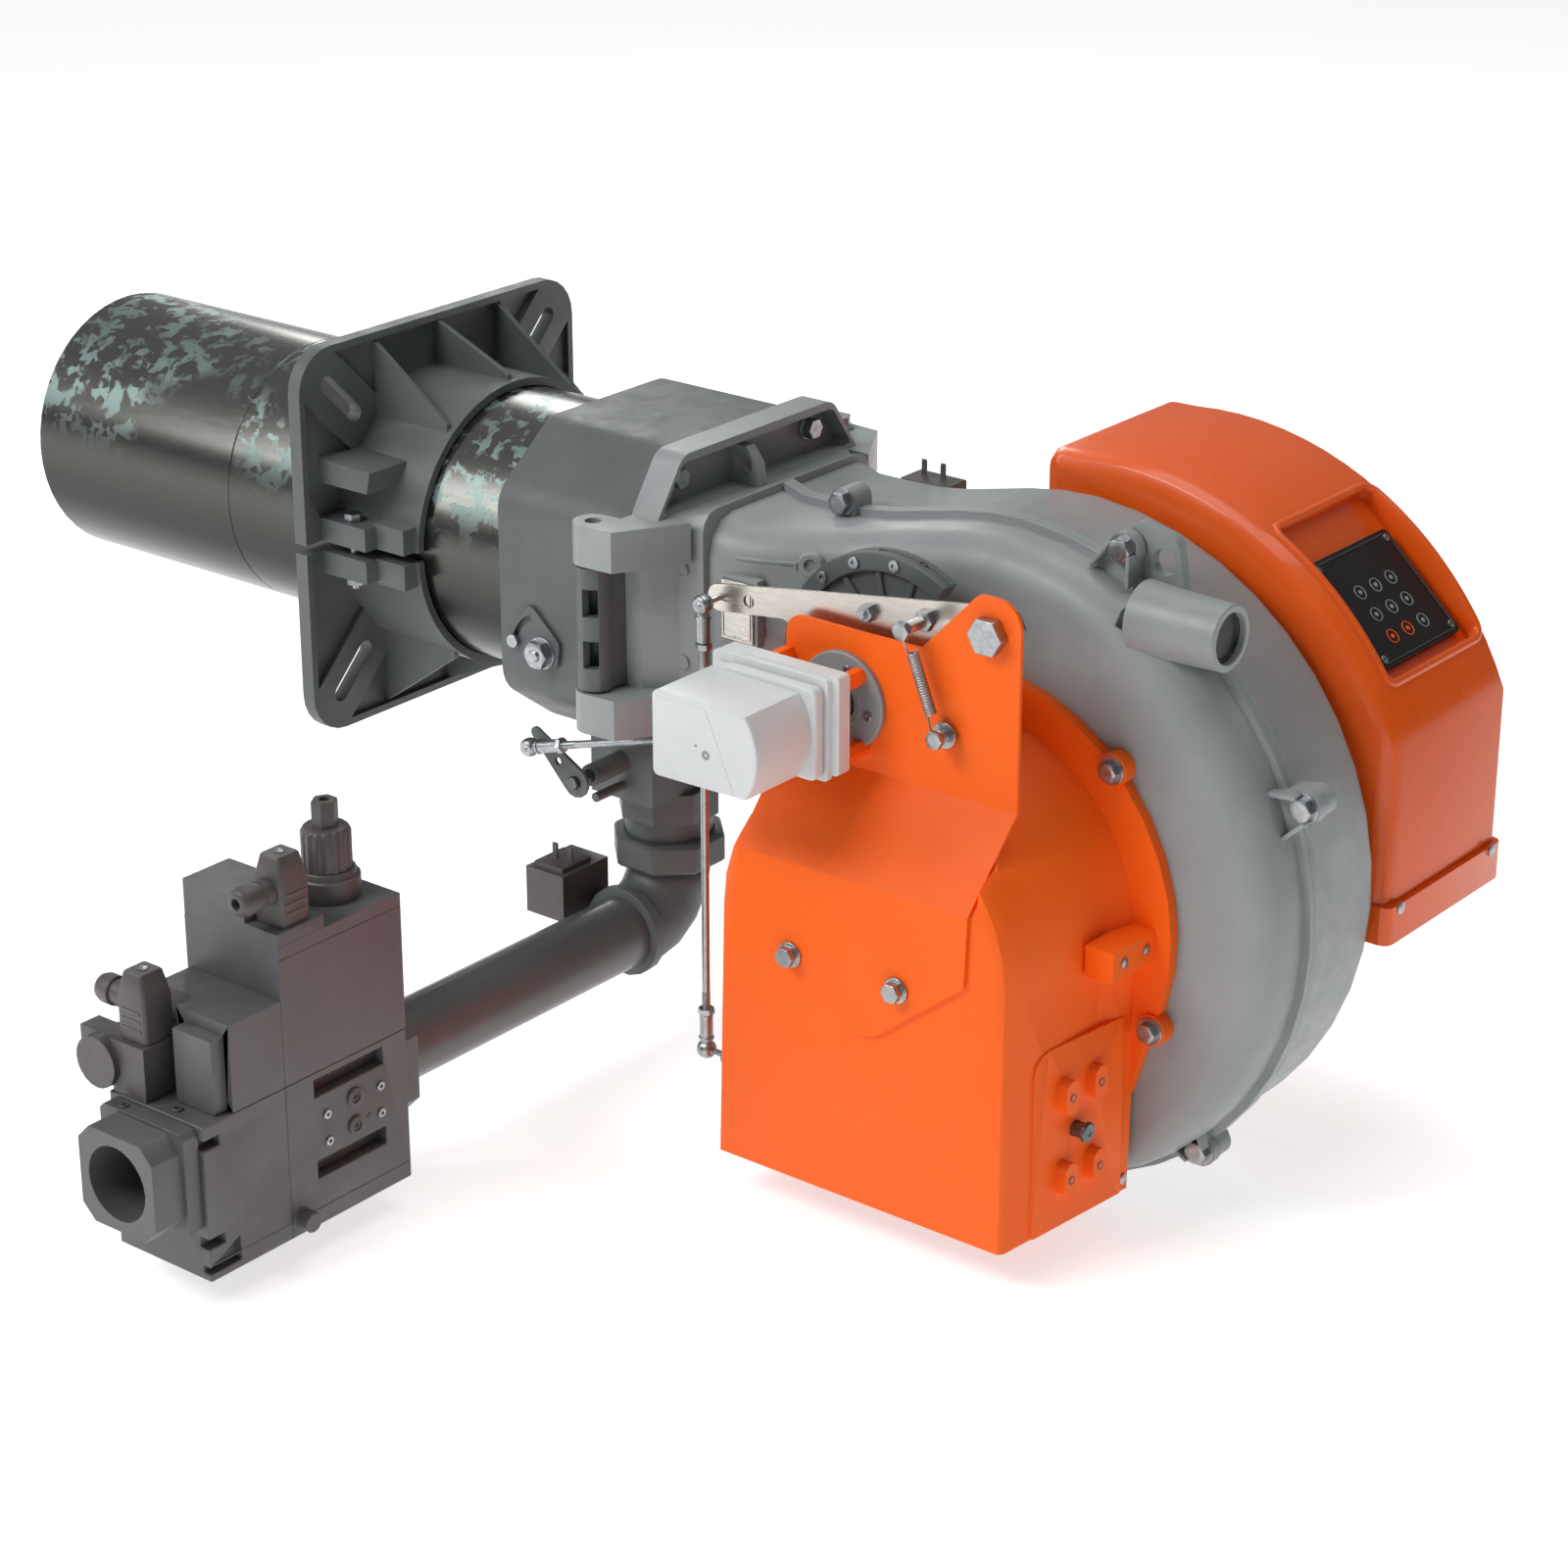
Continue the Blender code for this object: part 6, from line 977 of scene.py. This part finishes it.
def flow_cap():
    """Fluted wall r = R - f (1 - cos 16 t) / 2, a domed top, and a hexagon with its hole."""
    t = full_turn(192)
    flute = 0.0185 - 0.0009 * (1.0 - np.cos(16.0 * t)) / 2.0
    plain = np.ones_like(t)
    hexagon = hexagon_radius(t, 0.0100)
    rows_r = [flute, flute, flute - 0.0008, 0.0160 * plain, 0.0120 * plain, hexagon, hexagon,
              hexagon * 0.93, 0.0040 * plain, 0.0036 * plain]
    rows_d = [0.0, 0.0285, 0.0300, 0.0315, 0.0320, 0.0320, 0.0508, 0.0520, 0.0520, 0.0450]
    piece("flow_cap", "flow_adjuster", "black_plastic",
          rings((KNOB_X, KNOB_Y, KNOB_LOW), UP, np.array(rows_d)[:, None], np.stack(rows_r)),
          stands_for=("flow_adjuster_cap",))
    collar = [(0.0, 0.0240), (0.0160, 0.0240), (0.0172, 0.0228), (0.0172, 0.0214), (0.0210, 0.0208),
              (0.0218, 0.0200)]
    piece("damper_collar", "head", "black_plastic",
          spindle((KNOB_X, KNOB_Y, -0.1467), UP, collar, 48), stands_for=("damper_base",))


def plug(name, node, x, y, low, heading):
    """A connector: tapered body, ribbed grips, locking screw and a domed gland nut."""
    foot = round_box(x - 0.014, x + 0.014, y - 0.014, y + 0.014, 0.003)
    top = round_box(x - 0.010, x + 0.010, y - 0.011, y + 0.011, 0.003)
    loops = ((foot, 0.0), (foot, 0.032), ((foot + top) / 2.0, 0.042), (top, 0.0505),
             (inset(top, 0.0014), 0.052))
    shapes = [skin(np.array([facing_z(*loop.T, low + h) for loop, h in loops]), caps=(True, True))]
    out, along, across, place = {"X": ((-1.0, 0.0, 0.0), x, y, facing_y),
                                 "Y": (NEAR, y, x, facing_x)}[heading]
    gland = [(0.012, 0.0104), (0.022, 0.0104), (0.0224, 0.0094), (0.028, 0.0094), (0.0284, 0.0112),
             (0.038, 0.0112), (0.0425, 0.0096), (0.0440, 0.0076), (0.0440, 0.0044), (0.038, 0.0040)]
    shapes.append(spindle((x, y, low + 0.026), out, gland, 36))
    for k in range(3):
        height = low + 0.008 + 0.007 * k
        for side in (-1.0, 1.0):
            level = across + side * 0.0138
            grip = round_box(along - 0.010, along + 0.010, height, height + 0.003, 0.0008, 2)
            shapes.append(plate(grip, place, level - 0.0008, level + 0.0008, 0.0004))
    piece(name, "head", "black_plastic", *shapes, stands_for=(node,))
    piece(name + "_screw", "head", "zinc", slotted_screw((x, y, low + 0.0518), UP, 0.0042, 0.0018))


valve_side()
flow_cap()
plug("coil_plug", "main_coil_plug", 0.279, -0.457, -0.1367, "Y")
plug("switch_plug", "pressure_switch_plug", 0.223, -0.541, -0.2134, "X")


# Intake side

INTAKE_ROWS_Y = (-0.197, -0.193, -0.181, -0.090, -0.056)
INTAKE_ROWS_R = (0.115, 0.1262, 0.131, 0.137, 0.147)
INTAKE_ROWS_HALF = (0.128, 0.131, 0.132, 0.141, 0.144)
INTAKE_LOW = -0.368
INTAKE_BOSS = 0.0106
INTAKE_BOSSES = ((-0.133, -0.262), (-0.101, -0.261), (-0.133, -0.328), (-0.101, -0.328))


def intake_side(y, z):
    """The x of the intake's right wall, from its radius at y and its spread towards the bottom."""
    radius = np.interp(y, INTAKE_ROWS_Y, INTAKE_ROWS_R)
    half = np.interp(y, INTAKE_ROWS_Y, INTAKE_ROWS_HALF)
    return FAN_X + radius + (half - radius) * (z - FAN_Z) / (INTAKE_LOW - FAN_Z)


def intake_fittings():
    """Black discs of painted shade for the holes in the plate's bosses, a screw below them, and the end
    of the damper's shaft.
    """
    hole = [(0.0, 0.0036), (0.0007, 0.0034), (0.0007, 0.0024), (-0.0004, 0.0022)]
    # painted shade: dark dished discs stand in for the shaded insides of the bosses' holes
    piece("boss_hole_shade", "housing", "black_plastic",
          *[spindle((intake_side(y, z) + INTAKE_BOSS, y, z), REAR, hole, 20)
            for y, z in INTAKE_BOSSES])
    piece("intake_screw", "housing", "zinc",
          slotted_screw((intake_side(-0.062, -0.358) + 0.0002, -0.062, -0.358), REAR, 0.0042, 0.0024))
    piece("damper_button", "damper", "steel",
          spindle((0.7405, DAMPER_Y, DAMPER_Z), REAR, [(0.0, 0.0078), (0.0022, 0.0076), (0.0030, 0.0066),
                                                   (0.0030, 0.0030), (0.0024, 0.0026)]))


intake_fittings()


# Studio

TARGET = (0.4, 0.0, -0.1)
EYE = (2.085, -2.148, 0.984)


def softbox(name, place, width, height, power):
    """A rectangular lamp that faces the burner, its size in metres and its power in watts."""
    light = bpy.data.lights.new(name, "AREA")
    light.shape = "RECTANGLE"
    light.size = width
    light.size_y = height
    light.energy = power
    lamp = bpy.data.objects.new(name, light)
    lamp.location = place
    lamp.rotation_mode = "QUATERNION"
    lamp.rotation_quaternion = (Vector(TARGET) - Vector(place)).to_track_quat("-Z", "Y")
    bpy.context.scene.collection.objects.link(lamp)


def studio_world():
    """White to the camera, and to the object a room bright above, dim below and on the +X side."""
    world = bpy.data.worlds.new("studio")
    world.use_nodes = True
    bpy.context.scene.world = world
    nodes, links = world.node_tree.nodes, world.node_tree.links
    output = nodes["World Output"]
    seen = nodes["Background"]
    seen.inputs["Color"].default_value = (1.0, 1.0, 1.0, 1.0)
    seen.inputs["Strength"].default_value = 1.0
    room = nodes.new("ShaderNodeBackground")
    place = nodes.new("ShaderNodeTexCoord")
    split = nodes.new("ShaderNodeSeparateXYZ")
    links.new(place.outputs["Generated"], split.inputs["Vector"])
    shade = nodes.new("ShaderNodeMath")
    shade.operation = "MULTIPLY"
    for k, (axis, low, high, start, end) in enumerate((("Z", -0.1, 0.9, 0.20, 0.55),
                                                       ("X", -0.2, 0.8, 1.0, 0.2))):
        fade = nodes.new("ShaderNodeMapRange")
        fade.inputs["From Min"].default_value = low
        fade.inputs["From Max"].default_value = high
        fade.inputs["To Min"].default_value = start
        fade.inputs["To Max"].default_value = end
        links.new(split.outputs[axis], fade.inputs["Value"])
        links.new(fade.outputs["Result"], shade.inputs[k])
    links.new(shade.outputs["Value"], room.inputs["Strength"])
    camera_ray = nodes.new("ShaderNodeLightPath")
    mix = nodes.new("ShaderNodeMixShader")
    links.new(camera_ray.outputs["Is Camera Ray"], mix.inputs["Fac"])
    links.new(room.outputs["Background"], mix.inputs[1])
    links.new(seen.outputs["Background"], mix.inputs[2])
    links.new(mix.outputs["Shader"], output.inputs["Surface"])


def floor():
    """A wide pale plane under the burner."""
    reach = 30.0
    mesh = bpy.data.meshes.new("floor")
    corners = [(-reach, -reach, FLOOR_Z), (reach, -reach, FLOOR_Z), (reach, reach, FLOOR_Z),
               (-reach, reach, FLOOR_Z)]
    mesh.from_pydata(corners, [], [(0, 1, 2, 3)])
    f = Finish("pale floor", (0.92, 0.92, 0.92, 1.0), 0.9, specular=0.0)
    f.base.inputs["Emission Color"].default_value = (1.0, 1.0, 1.0, 1.0)
    f.base.inputs["Emission Strength"].default_value = 0.62
    mesh.materials.append(f.material)
    plane = bpy.data.objects.new("floor", mesh)
    bpy.context.scene.collection.objects.link(plane)


def camera():
    """The photograph's view: 38.6 degrees round and 22.6 degrees up, from 3.9 m."""
    lens = bpy.data.cameras.new("camera")
    lens.lens = 87.28
    lens.sensor_width = 36.0
    lens.clip_start = 0.05
    lens.clip_end = 100.0
    view = bpy.data.objects.new("camera", lens)
    azimuth, elevation = math.radians(38.64), math.radians(22.57)
    back = Vector((math.sin(azimuth) * math.cos(elevation),
                   -math.cos(azimuth) * math.cos(elevation), math.sin(elevation)))
    right = Vector((math.cos(azimuth), math.sin(azimuth), 0.0))
    up = back.cross(right)
    turn = Matrix((right, up, back)).transposed().to_4x4()
    view.matrix_world = Matrix.Translation(EYE) @ turn
    bpy.context.scene.collection.objects.link(view)
    bpy.context.scene.camera = view


studio_world()
floor()
camera()
softbox("key", (-0.6, -2.6, 2.6), 1.6, 1.2, 60.0)
softbox("top", (0.6, 0.6, 2.6), 2.4, 1.2, 20.0)
softbox("side", (3.0, -0.6, 1.0), 0.8, 1.6, 1.5)
softbox("left streak", (-1.9, -2.1, 1.45), 0.35, 1.6, 16.0)
softbox("far streak", (-1.9, 2.0, 1.5), 0.5, 1.6, 14.0)
bpy.context.scene.view_settings.view_transform = "Standard"
